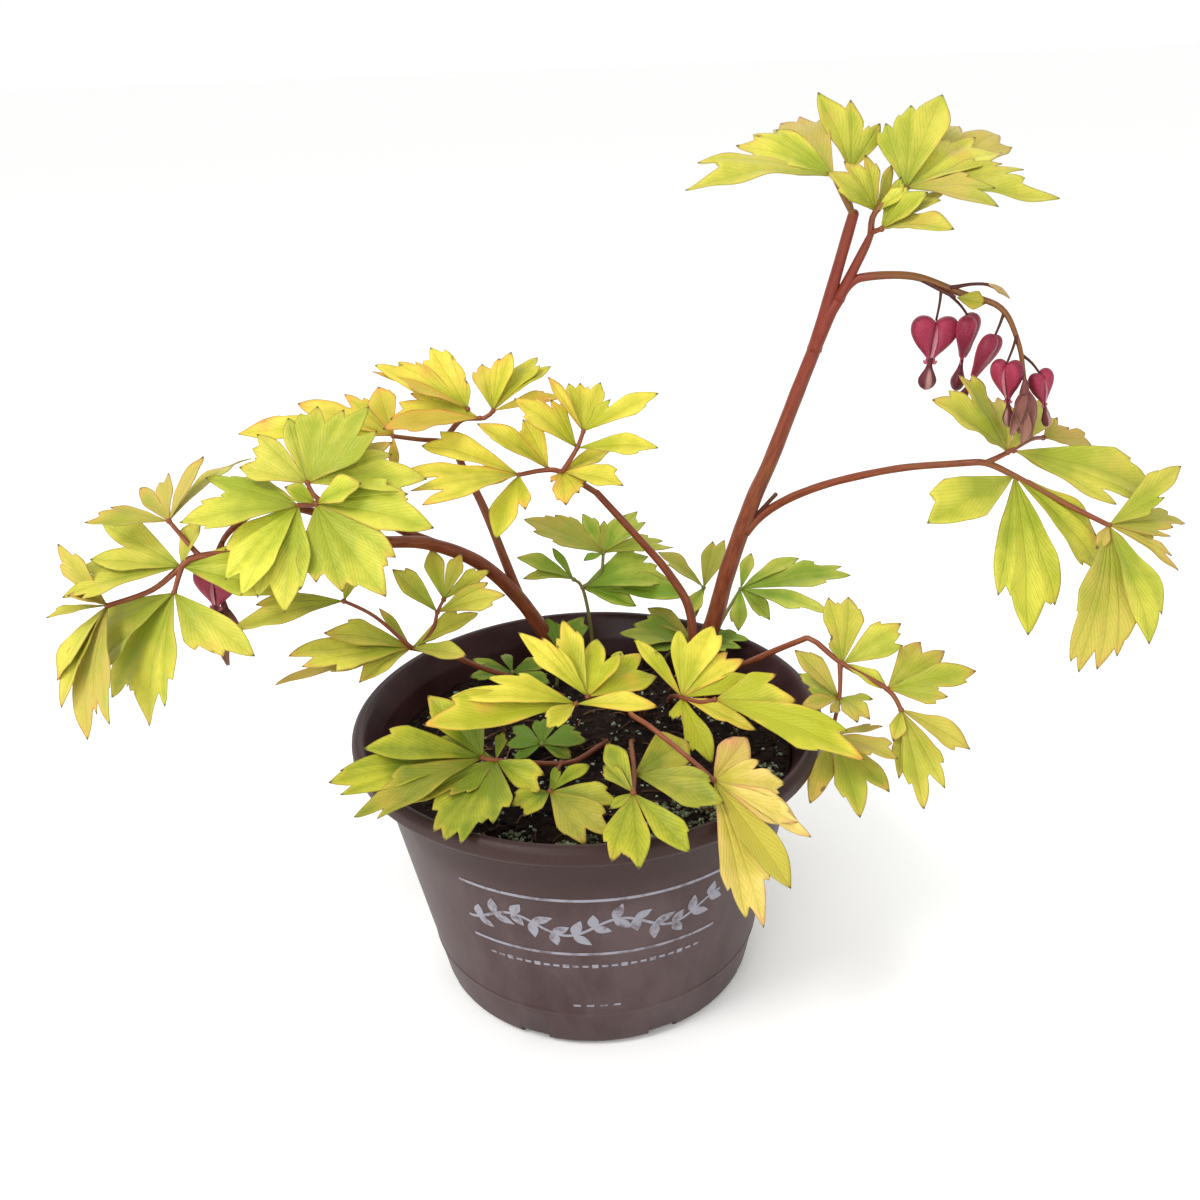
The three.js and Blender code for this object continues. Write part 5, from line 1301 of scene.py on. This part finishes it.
def add_pouch(build, bloom, side):
    """One swollen outer petal, from the seam in the middle to its edge."""
    width, height, depth = bloom["size"]
    loop = smooth_loop(PETAL_HALF, 4) * (width, height)
    n = len(loop)
    centre = np.array(PETAL_MIDDLE) * (width, height)
    points, values, faces, uvs = [], [], [], []
    starts = {}
    for face in (-1, 1):
        for share in PETAL_RINGS:
            if share == 1.0 and face == 1:
                continue
            starts[face, share] = len(points)
            for x, z in centre + (loop - centre) * share:
                down = np.clip(-z / height, 0, 1)
                thick = depth / 2 * (1 - 0.72 * down**1.5)
                swell = (1 - share**3.2) ** 0.5
                points.append((side * x, face * thick * swell, z))
                lip = math.exp(-abs(x) / (0.05 * width)) * smooth(down, 0.05, 0.3)
                # Painted shade: the petal darkens towards its rounded edge, away from the seam.
                rim_painted_shade = smooth(share, 0.75, 1.0) * smooth(x, 0.08 * width, 0.2 * width)
                values.append(0.45 * lip - 0.6 * rim_painted_shade)
    hubs = {}
    for face in (-1, 1):
        hubs[face] = len(points)
        points.append((side * centre[0], face * depth / 2 * 0.86, centre[1]))
        values.append(0.0)
        rings = [starts.get((face, share), starts[-1, 1.0]) for share in PETAL_RINGS]
        flip = (face * side) < 0
        for k in range(n):
            j = (k + 1) % n
            tri = (hubs[face], rings[0] + k, rings[0] + j)
            faces.append(tri if flip else tri[::-1])
            for low, high in zip(rings[:-1], rings[1:]):
                quad = (low + k, high + k, high + j, low + j)
                faces.append(quad if flip else quad[::-1])
    points = np.array(points)
    for face in faces:
        uvs.append([(points[i][0] / 6, points[i][2] / 6) for i in face])
    build.add(placed(points, bloom_matrix(bloom)), faces, uvs, lip=np.array(values))


def add_strip(build, matrix, path, widths, lip, seed, cup=0.25, blade=0.5):
    """A narrow petal along a path: cupped across, thin and closed, and paler to its tip by its lip."""
    centres, along, share = curve_points(path, 0.7)
    breadth = np.interp(share, np.linspace(0, 1, len(widths)), widths)
    up = np.array([0.0, -1.0, 0.25])
    columns = np.linspace(-1, 1, 7)
    top, bottom, values = [], [], []
    for centre, direction, wide, s in zip(centres, along, breadth, share):
        out = unit(np.cross(direction, up))
        normal = np.cross(out, direction)
        for c in columns:
            ruffle = 0.16 * wide * noise.noise(Vector((c * 1.3, s * 3, seed)))
            spot = centre + out * c * wide / 2 + normal * (cup * wide * (c * c - 0.4) + ruffle)
            thin = blade / 2 * (1 - 0.8 * c * c)
            top.append(spot + normal * thin)
            bottom.append(spot - normal * thin)
            values.append(lip * s)
    rows, n = len(centres), len(columns)
    under = rows * n
    faces = []
    for i in range(rows - 1):
        for j in range(n - 1):
            a = i * n + j
            quad = (a, a + 1, a + n + 1, a + n)
            faces += [quad, tuple(under + q for q in quad[::-1])]
    edge = [*range(n), *[i * n + n - 1 for i in range(1, rows)],
            *[(rows - 1) * n + j for j in range(n - 2, -1, -1)], *[i * n for i in range(rows - 2, 0, -1)]]
    faces += edge_faces(edge, under)
    points = np.array(top + bottom)
    uvs = [[(points[i][0] / 6, points[i][2] / 6) for i in face] for face in faces]
    build.add(placed(points, matrix), faces, uvs, lip=np.array(values * 2))


def make_bloom(bloom, seed):
    """A bloom: the heart of its two outer petals, and the drop of its inner ones."""
    width, height, depth = bloom["size"]
    matrix = bloom_matrix(bloom)
    outer = Build()
    for side in (-1, 1):
        add_pouch(outer, bloom, side)
        tip = [(side * x * width, y * width, z * height) for x, y, z in PETAL_TIP]
        add_strip(outer, matrix, tip, np.array(TIP_WIDTHS) * width, lip=0.6, seed=seed + side)
        seam = [(0, side * y * depth, z * height) for y, z in PETAL_SEAM]
        add_strip(outer, matrix, seam, np.array(SEAM_WIDTHS) * width, lip=1.0, seed=seed + 3 + side,
                  cup=-0.4 * side)
    keep(outer.make(bloom["name"] + "_heart", [PETAL]), [bloom["name"]])

    inner = Build()
    sides = DROP_SIDES
    profile = smooth_profile(DROP)
    points, values = [], []
    for r, z in profile:
        for k in range(sides):
            angle = 2 * math.pi * k / sides
            ridge = 1 + 0.10 * math.cos(2 * angle) * smooth(-z, 1.05, 1.3)
            points.append((r * width * ridge * math.cos(angle), r * width * 0.86 * math.sin(angle) / ridge,
                           z * height - 0.3))
            stripe = math.exp(-(min(abs(math.sin(angle)), 1) - 1) ** 2 / 0.006)
            values.append(0.8 * stripe * float(smooth(-z, 1.15, 1.3)) + 0.5 * float(smooth(-z, 1.68, 1.77)))
    rows = len(profile)
    faces = []
    for i in range(rows - 1):
        faces += band(i * sides, (i + 1) * sides, sides, inward=True)
    faces += [tuple(range(sides)), tuple((rows - 1) * sides + k for k in range(sides))[::-1]]
    uvs = [[(points[i][0] / 4, points[i][2] / 6) for i in face] for face in faces]
    inner.add(placed(points, matrix), faces, uvs, lip=np.array(values))
    keep(inner.make(bloom["name"] + "_drop", [INNER]), [bloom["name"] + "_inner"])


def smooth_profile(points):
    """A fine curve through points of radius and height."""
    curve, _, _ = curve_points([(r, 0, z) for r, z in points], 0.045)
    return curve[:, (0, 2)]


def make_faded(faded, seed):
    """A withered bloom: limp petals that hang from a knot."""
    build = Build()
    rng = np.random.default_rng(seed)
    at = np.asarray(faded["at"], float)
    add_tube(build, [at + (0, 0.8, 2.6), at + (0, 0.2, 0.6), at + (0, 0, -2.4)], (0.8, 1.9), sides=12,
             longest=0.6, lip=-0.3)
    for i, (dx, dy, dz) in enumerate(faded["petals"]):
        bend = rng.uniform(-1.6, 1.6, 2)
        path = [at + (0, 0, -0.6), at + (dx * 0.35 + bend[0], dy * 0.35 + bend[1], dz * 0.35),
                at + (dx * 0.75 - bend[0] * 0.5, dy * 0.75 - bend[1] * 0.5, dz * 0.72), at + (dx, dy, dz)]
        add_strip(build, Matrix.Identity(4), path, LIMP_WIDTHS, lip=0.4, seed=seed + i * 1.7, cup=0.5,
                  blade=0.4)
    keep(build.make(faded["name"] + "_petals", [WITHERED]), [faded["name"]])


def make_bract():
    """The bract, a small plain leaf."""
    build = Build()
    rng = np.random.default_rng(5)
    add_leaflet(build, BRACT["at"], BRACT["tip"], BRACT["face"], rng, curl=0.3, teeth=0.0)
    keep(build.make("bract_leaf", [LEAF["fresh"]]), ["bract"])


# ---------------------------------------------------------------- pot


def lathe(build, profile, segments, **values):
    """A closed profile turned about the pot's axis. Values are given for each point of the profile."""
    profile = np.asarray(profile, float)
    rows = len(profile)
    angle = np.arange(segments) * 2 * math.pi / segments
    points = np.stack([profile[:, 0, None] * np.cos(angle), profile[:, 0, None] * np.sin(angle),
                       np.repeat(profile[:, 1, None], segments, 1)], -1).reshape(-1, 3)
    faces = []
    for i in range(rows):
        faces += band(i * segments, (i + 1) % rows * segments, segments)
    build.add(points, faces, **{name: np.repeat(value, segments) for name, value in values.items()})


def rounded(corners, radius, steps=3):
    """A profile with each corner rounded off."""
    p = np.asarray(corners, float)
    out = []
    for i in range(len(p)):
        before, here, after = p[i - 1], p[i], p[(i + 1) % len(p)]
        a, b = before - here, after - here
        cut = min(radius, np.linalg.norm(a) / 2.2, np.linalg.norm(b) / 2.2)
        start, end = here + unit(a) * cut, here + unit(b) * cut
        for k in range(steps + 1):
            t = k / steps
            out.append((1 - t) ** 2 * start + 2 * t * (1 - t) * here + t * t * end)
    return np.array(out)


def wall_radius(z):
    """The pot's outer radius at a height."""
    slope = (POT["shoulder"] - POT["base"]) / (POT["height"] - POT["rim_height"] - POT["foot"])
    return POT["base"] + slope * (z - POT["foot"])


# The fine ledge round the wall: its heights and how proud it stands. Then how round the pot's edges are.
LEDGE = ((20, 0), (20.6, 0.35), (22, 0.35), (22.6, 0))
RIM_BEVEL = 2
EDGE_ROUNDING = 1.1


def make_pot():
    """The pot's turned shell, with the drainage slots cut out of its foot."""
    height, lip, rim, wall = POT["height"], POT["height"] - POT["rim_height"], POT["rim"], POT["wall"]
    ledge = [(wall_radius(z) + proud, z) for z, proud in LEDGE]
    outer = [(POT["base"] - POT["foot"], 0), (POT["base"], POT["foot"]), *ledge, (POT["shoulder"], lip),
             (rim - RIM_BEVEL, lip), (rim, lip + RIM_BEVEL), (rim, height - RIM_BEVEL),
             (rim - RIM_BEVEL, height)]
    inner = [(rim - POT["rim_width"], height), (rim - POT["rim_width"] - wall, height - wall),
             (POT["shoulder"] - wall, lip - wall), (POT["base"] - wall, POT["foot"] + wall),
             (POT["base"] - POT["foot"] - wall, wall), (3, wall), (3, 0)]
    profile = rounded(outer + inner, EDGE_ROUNDING)
    points_per_corner = len(profile) // len(outer + inner)
    inside = (np.arange(len(profile)) >= len(outer) * points_per_corner).astype(float)
    build = Build()
    lathe(build, profile, POT_SEGMENTS, inside=inside)
    pot = build.make("pot_shell", [pot_material()])
    cutters = []
    for i in range(DRAIN["slots"]):
        turn = 2 * math.pi * (i + 0.5) / DRAIN["slots"]
        mesh = bpy.data.meshes.new("cutter")
        bm = bmesh.new()
        bmesh.ops.create_cube(bm, size=1.0, matrix=Matrix.Rotation(turn, 4, "Z")
                              @ Matrix.Translation((POT["base"] * MM, 0, 0))
                              @ Matrix.Diagonal((2 * DRAIN["reach"] * MM, DRAIN["width"] * MM,
                                                 2 * DRAIN["rise"] * MM, 1)))
        bm.to_mesh(mesh)
        bm.free()
        cutter = bpy.data.objects.new("cutter", mesh)
        bpy.context.scene.collection.objects.link(cutter)
        cutters.append(cutter)
        cut = pot.modifiers.new("slot", "BOOLEAN")
        cut.object = cutter
        cut.solver = "EXACT"
    apply_modifiers(pot)
    for cutter in cutters:
        bpy.data.objects.remove(cutter)
    keep(pot, ["pot"])


def apply_modifiers(piece):
    """Keeps what the modifiers make of a piece as its own mesh."""
    bpy.context.view_layer.update()
    shaped = bpy.data.meshes.new_from_object(piece.evaluated_get(bpy.context.evaluated_depsgraph_get()))
    piece.modifiers.clear()
    piece.data = shaped


# The printed design, in millimetres: the ink's height off the wall and the level where lengths round the
# wall are true. Then the garland's half length, its middle's height, its wave and the number of half waves
# in half its length; and the heights of the lines, the dashes and the marks at the foot.
INK = 0.12
PRINT_LEVEL = 60
REACH, MIDDLE, WAVE, HALF_WAVES = 52, 75, 4.5, 2.5
LINES, DASHES, MARKS = (90.5, 59.5), 52.0, 27.0
# How many pairs of leaves, how far they lean off the stalk, how long they are in turn and how wide.
LEAF_PAIRS, LEAF_LEAN = 13, 0.95
LEAF_LENGTHS, LEAF_WIDTH = (7.6, 9.2), 4.3


def on_wall(s, z):
    """A point on the pot's wall, from the distance round it from the front and its height."""
    r = wall_radius(z) + INK
    angle = -math.pi / 2 + s / wall_radius(PRINT_LEVEL)
    return (r * math.cos(angle), r * math.sin(angle), z)


def add_print_shape(build, outline):
    """A flat shape on the wall, from its outline in distance round and height."""
    outline = np.asarray(outline, float)
    centre = outline.mean(0)
    rings = [centre + (outline - centre) * share for share in (0.5, 1.0)]
    n = len(outline)
    points = [on_wall(*centre)] + [on_wall(*p) for ring in rings for p in ring]
    faces = [(0, 1 + k, 1 + (k + 1) % n) for k in range(n)]
    faces += [(1 + k, 1 + n + k, 1 + n + (k + 1) % n, 1 + (k + 1) % n) for k in range(n)]
    build.add(points, faces)


def add_print_band(build, path, width):
    """A printed line along a path on the wall."""
    path = np.asarray(path, float)
    direction = np.gradient(path, axis=0)
    direction /= np.linalg.norm(direction, axis=1)[:, None]
    side = np.stack([-direction[:, 1], direction[:, 0]], 1) * width / 2
    points = [on_wall(*p) for p in path - side] + [on_wall(*p) for p in path + side]
    n = len(path)
    build.add(points, [(i, i + 1, n + i + 1, n + i) for i in range(n - 1)])


def leaf_shape(at, angle, length, wide):
    """The outline of a pointed leaf that grows from a point."""
    t = np.linspace(0, 1, 9)
    half = wide / 2 * np.sin(math.pi * t**0.8)
    local = np.vstack([np.stack([t * length, half], 1), np.stack([t[-2:0:-1] * length, -half[-2:0:-1]], 1)])
    c, s = math.cos(angle), math.sin(angle)
    return local @ np.array([[c, s], [-s, c]]) + at


def make_print():
    """A plain garland: a waved stalk with pairs of leaves between two lines, and a row of dashes below."""
    build = Build()
    s = np.linspace(-REACH, REACH, 90)
    for height in LINES:
        add_print_band(build, np.stack([s, np.full_like(s, height)], 1), 1.5)
    wave = MIDDLE + WAVE * np.sin(s / REACH * HALF_WAVES * math.pi)
    add_print_band(build, np.stack([s, wave], 1), 1.4)
    for i, x in enumerate(np.linspace(-REACH + 5, REACH - 5, LEAF_PAIRS)):
        phase = x / REACH * HALF_WAVES * math.pi
        z = MIDDLE + WAVE * math.sin(phase)
        lean = math.atan(WAVE * HALF_WAVES * math.pi / REACH * math.cos(phase))
        for side in (1, -1):
            leaf = leaf_shape((x, z), lean + side * LEAF_LEAN, LEAF_LENGTHS[i % 2], LEAF_WIDTH)
            add_print_shape(build, leaf)
    for x in np.linspace(-44, 44, 23):
        dash = np.linspace(x - 1.3, x + 1.3, 4)
        add_print_band(build, np.stack([dash, np.full(4, DASHES)], 1), 1.3 if round(x / 4) % 3 else 2.2)
    for x in (-9, -3, 3, 9):
        dash = np.linspace(x - 1.6, x + 1.6, 4)
        add_print_band(build, np.stack([dash, np.full(4, MARKS)], 1), 1.2)
    keep(build.make("pot_print", [print_material()]), [])


# ---------------------------------------------------------------- soil


def ground(x, y):
    """Height of the soil's top at a point: a low crown, broad swells and small clods."""
    r = math.hypot(x, y)
    height = SOIL["level"] + SOIL["crown"] * float(smooth(-r, -80, -15))
    height += 1.6 * noise.fractal(Vector((x * 0.035, y * 0.035, 1.3)), 0.9, 2.1, 4)
    return height + 0.9 * noise.fractal(Vector((x * 0.16, y * 0.16, 8.1)), 0.8, 2.2, 4)


def make_soil():
    """The soil: an uneven top, then rings down its side, and a flat foot."""
    inset = POT["wall"] + SOIL["clearance"]
    edge = wall_radius(SOIL["level"]) - inset
    build = Build()
    segments, rings = SOIL_SEGMENTS, SOIL_RINGS
    points = [(0, 0, ground(0, 0))]
    for i in range(1, rings + 1):
        r = edge * i / rings
        for k in range(segments):
            a = 2 * math.pi * k / segments
            x, y = r * math.cos(a), r * math.sin(a)
            points.append((x, y, ground(x, y)))
    skirt = [(wall_radius(SOIL_WAIST) - inset, SOIL_WAIST), (POT["base"] - inset, POT["foot"] + inset),
             (POT["base"] - POT["foot"] - inset, inset)]
    for r, z in skirt:
        points += [(r * math.cos(2 * math.pi * k / segments), r * math.sin(2 * math.pi * k / segments), z)
                   for k in range(segments)]
    faces = [(0, 1 + k, 1 + (k + 1) % segments) for k in range(segments)]
    for i in range(rings + len(skirt) - 1):
        faces += band(1 + i * segments, 1 + (i + 1) * segments, segments, inward=True)
    last = 1 + (rings + len(skirt) - 1) * segments
    faces.append(tuple(last + k for k in range(segments))[::-1])
    build.add(points, faces)
    peat = soil_material("peat", srgb(27, 20, 19), srgb(52, 40, 35))
    keep(build.make("soil_body", [peat]), ["soil"])


def add_lump(build, x, y, size, rng, sink=0.35, flat=0.7, **values):
    """An irregular bit lying on the soil."""
    verts, faces = ball(1)
    rough = verts * (1 + rng.uniform(-0.28, 0.28, (len(verts), 1)))
    scale = size / 2 * np.array([rng.uniform(0.7, 1.3), rng.uniform(0.7, 1.2), flat * rng.uniform(0.7, 1.2)])
    tilt = Matrix.Rotation(rng.uniform(0, FULL_TURN), 3, "Z")
    tilt = tilt @ Matrix.Rotation(rng.uniform(-0.5, 0.5), 3, "X")
    points = (rough * scale) @ np.array(tilt).T + (x, y, ground(x, y) + size * (0.5 - sink) * flat)
    build.add(points, faces, **values)


def scattered(rng, count, inner, outer):
    """Places spread evenly over a ring or a disc."""
    r = np.sqrt(rng.uniform(inner**2, outer**2, count))
    a = rng.uniform(0, 2 * math.pi, count)
    return zip(r * np.cos(a), r * np.sin(a))


# How many crumbs of peat, specks of perlite and fibres.
CRUMBS, SPECKS, FIBRES = 1500, 520, 170
# Where each patch of moss is, and its radius.
MOSS_PATCHES = [((46, -60), 21), ((24, -75), 12), ((-62, -38), 9), ((-4, -78), 12), ((70, -30), 13),
                ((-30, -68), 8)]


def make_top_dressing():
    """What lies on the soil: crumbs of peat, perlite, fibres and patches of moss."""
    rng = np.random.default_rng(41)
    crumbs = Build()
    for x, y in scattered(rng, CRUMBS, 0, SOIL_REACH):
        add_lump(crumbs, x, y, rng.uniform(1.0, 3.4) ** 1.05, rng, tone=rng.uniform(0, 1))
    keep(crumbs.make("soil_crumbs", [speck_material("crumb", srgb(24, 18, 17), srgb(66, 50, 42))],
                     smooth_faces=False), [])
    perlite = Build()
    for x, y in scattered(rng, SPECKS, 10, SOIL_REACH - 1):
        add_lump(perlite, x, y, rng.uniform(0.7, 2.3), rng, tone=rng.uniform(0, 1))
    keep(perlite.make("soil_perlite", [speck_material("perlite", srgb(104, 122, 96), srgb(206, 212, 196))],
                      smooth_faces=False), [])
    fibres = Build()
    for x, y in scattered(rng, FIBRES, 0, SOIL_REACH - 2):
        angle, length = rng.uniform(0, FULL_TURN), rng.uniform(4, 12)
        dx, dy = math.cos(angle) * length / 2, math.sin(angle) * length / 2
        if math.hypot(abs(x) + abs(dx), abs(y) + abs(dy)) > SOIL_REACH - 1:
            continue
        low = [(x - dx, y - dy, ground(x - dx, y - dy) + 0.5), (x, y, ground(x, y) + rng.uniform(0.8, 2.2)),
               (x + dx, y + dy, ground(x + dx, y + dy) + 0.5)]
        add_tube(fibres, low, (rng.uniform(0.25, 0.6), 0.25), sides=5, longest=2.0, tone=rng.uniform(0, 1))
    keep(fibres.make("soil_fibres", [speck_material("fibre", srgb(66, 44, 32), srgb(132, 98, 66))]), [])
    moss = Build()
    for (cx, cy), size in MOSS_PATCHES:
        for x, y in scattered(rng, int(size * size * 1.5), 0, size):
            x, y = x + cx, y + cy
            if math.hypot(x, y) < SOIL_REACH and noise.noise(Vector((x * 0.12, y * 0.12, 4.4))) > -0.12:
                add_lump(moss, x, y, rng.uniform(1.0, 2.2), rng, sink=0.2, flat=1.0, tone=rng.uniform(0, 1))
    keep(moss.make("soil_moss", [speck_material("moss", srgb(78, 88, 58), srgb(168, 178, 146), 0.95)],
                   smooth_faces=False), [])


# ---------------------------------------------------------------- stage


# Each light's place and width in metres, its power in watts and its colour. Then where they all point.
LIGHTS = (
    ("key", (-0.9, -0.8, 1.6), 0.6, 16.5, (1.0, 0.985, 0.96)),
    ("fill", (-0.5, -1.3, 0.6), 1.0, 7.0, (0.98, 0.99, 1.0)),
    ("back", (0.3, 1.2, 1.4), 0.9, 3.0, (1.0, 1.0, 1.0)),
)
LIT_SPOT = (0, 0, 0.15)


def make_stage():
    """A wide pale floor under a white sky, and three soft lights."""
    mesh = bpy.data.meshes.new("floor")
    half = 30.0
    corners = [(-half, -half, 0), (half, -half, 0), (half, half, 0), (-half, half, 0)]
    mesh.from_pydata(corners, [], [(0, 1, 2, 3)])
    floor = bpy.data.objects.new("floor", mesh)
    bpy.context.scene.collection.objects.link(floor)
    s = Surface("floor", roughness=0.9, specular=0.1)
    s.set("Base Color", (0.97, 0.97, 0.965, 1.0))
    mesh.materials.append(s.material)

    world = bpy.data.worlds.new("studio")
    bpy.context.scene.world = world
    world.use_nodes = True
    background = world.node_tree.nodes["Background"]
    background.inputs["Color"].default_value = (1.0, 1.0, 1.0, 1.0)
    background.inputs["Strength"].default_value = 1.02

    for name, at, size, power, colour in LIGHTS:
        data = bpy.data.lights.new(name, "AREA")
        data.shape, data.size, data.energy, data.color = "DISK", size, power, colour
        light = bpy.data.objects.new(name, data)
        light.location = at
        light.rotation_euler = (Vector(LIT_SPOT) - Vector(at)).to_track_quat("-Z", "Y").to_euler()
        bpy.context.scene.collection.objects.link(light)


def make_camera():
    """Stands in front of the plant, looks down at it and leans a little to one side."""
    data = bpy.data.cameras.new("camera")
    data.lens, data.sensor_width = FOCAL_LENGTH, SENSOR
    data.clip_start, data.clip_end = 0.01, 100
    camera = bpy.data.objects.new("camera", data)
    forward = Vector((0, math.cos(CAMERA_PITCH), -math.sin(CAMERA_PITCH)))
    level, up = Vector((1, 0, 0)), Vector((1, 0, 0)).cross(forward)
    c, s = math.cos(CAMERA_ROLL), math.sin(CAMERA_ROLL)
    right, top = level * c + up * s, up * c - level * s
    turn = Matrix((right, top, -forward)).transposed().to_4x4()
    camera.matrix_world = Matrix.Translation(Vector(CAMERA_AT) * MM) @ turn
    bpy.context.scene.collection.objects.link(camera)
    bpy.context.scene.camera = camera


# ---------------------------------------------------------------- making it all

bpy.context.scene.view_settings.view_transform = "Standard"
make_camera()
make_stage()
make_pot()
make_print()
make_soil()
make_top_dressing()
for number, (name, stalks) in enumerate(STEMS.items()):
    hung = [bloom for bloom in BLOOMS if bloom["stem"] == name]
    make_stem(name, stalks, [thread_route(bloom) for bloom in hung], 30 * number)
for number, frond in enumerate(FRONDS):
    make_frond(frond, 100 + 40 * number)
for number, bloom in enumerate(BLOOMS):
    make_bloom(bloom, 7 * number)
for number, faded in enumerate(FADED):
    make_faded(faded, 60 + 9 * number)
make_bract()
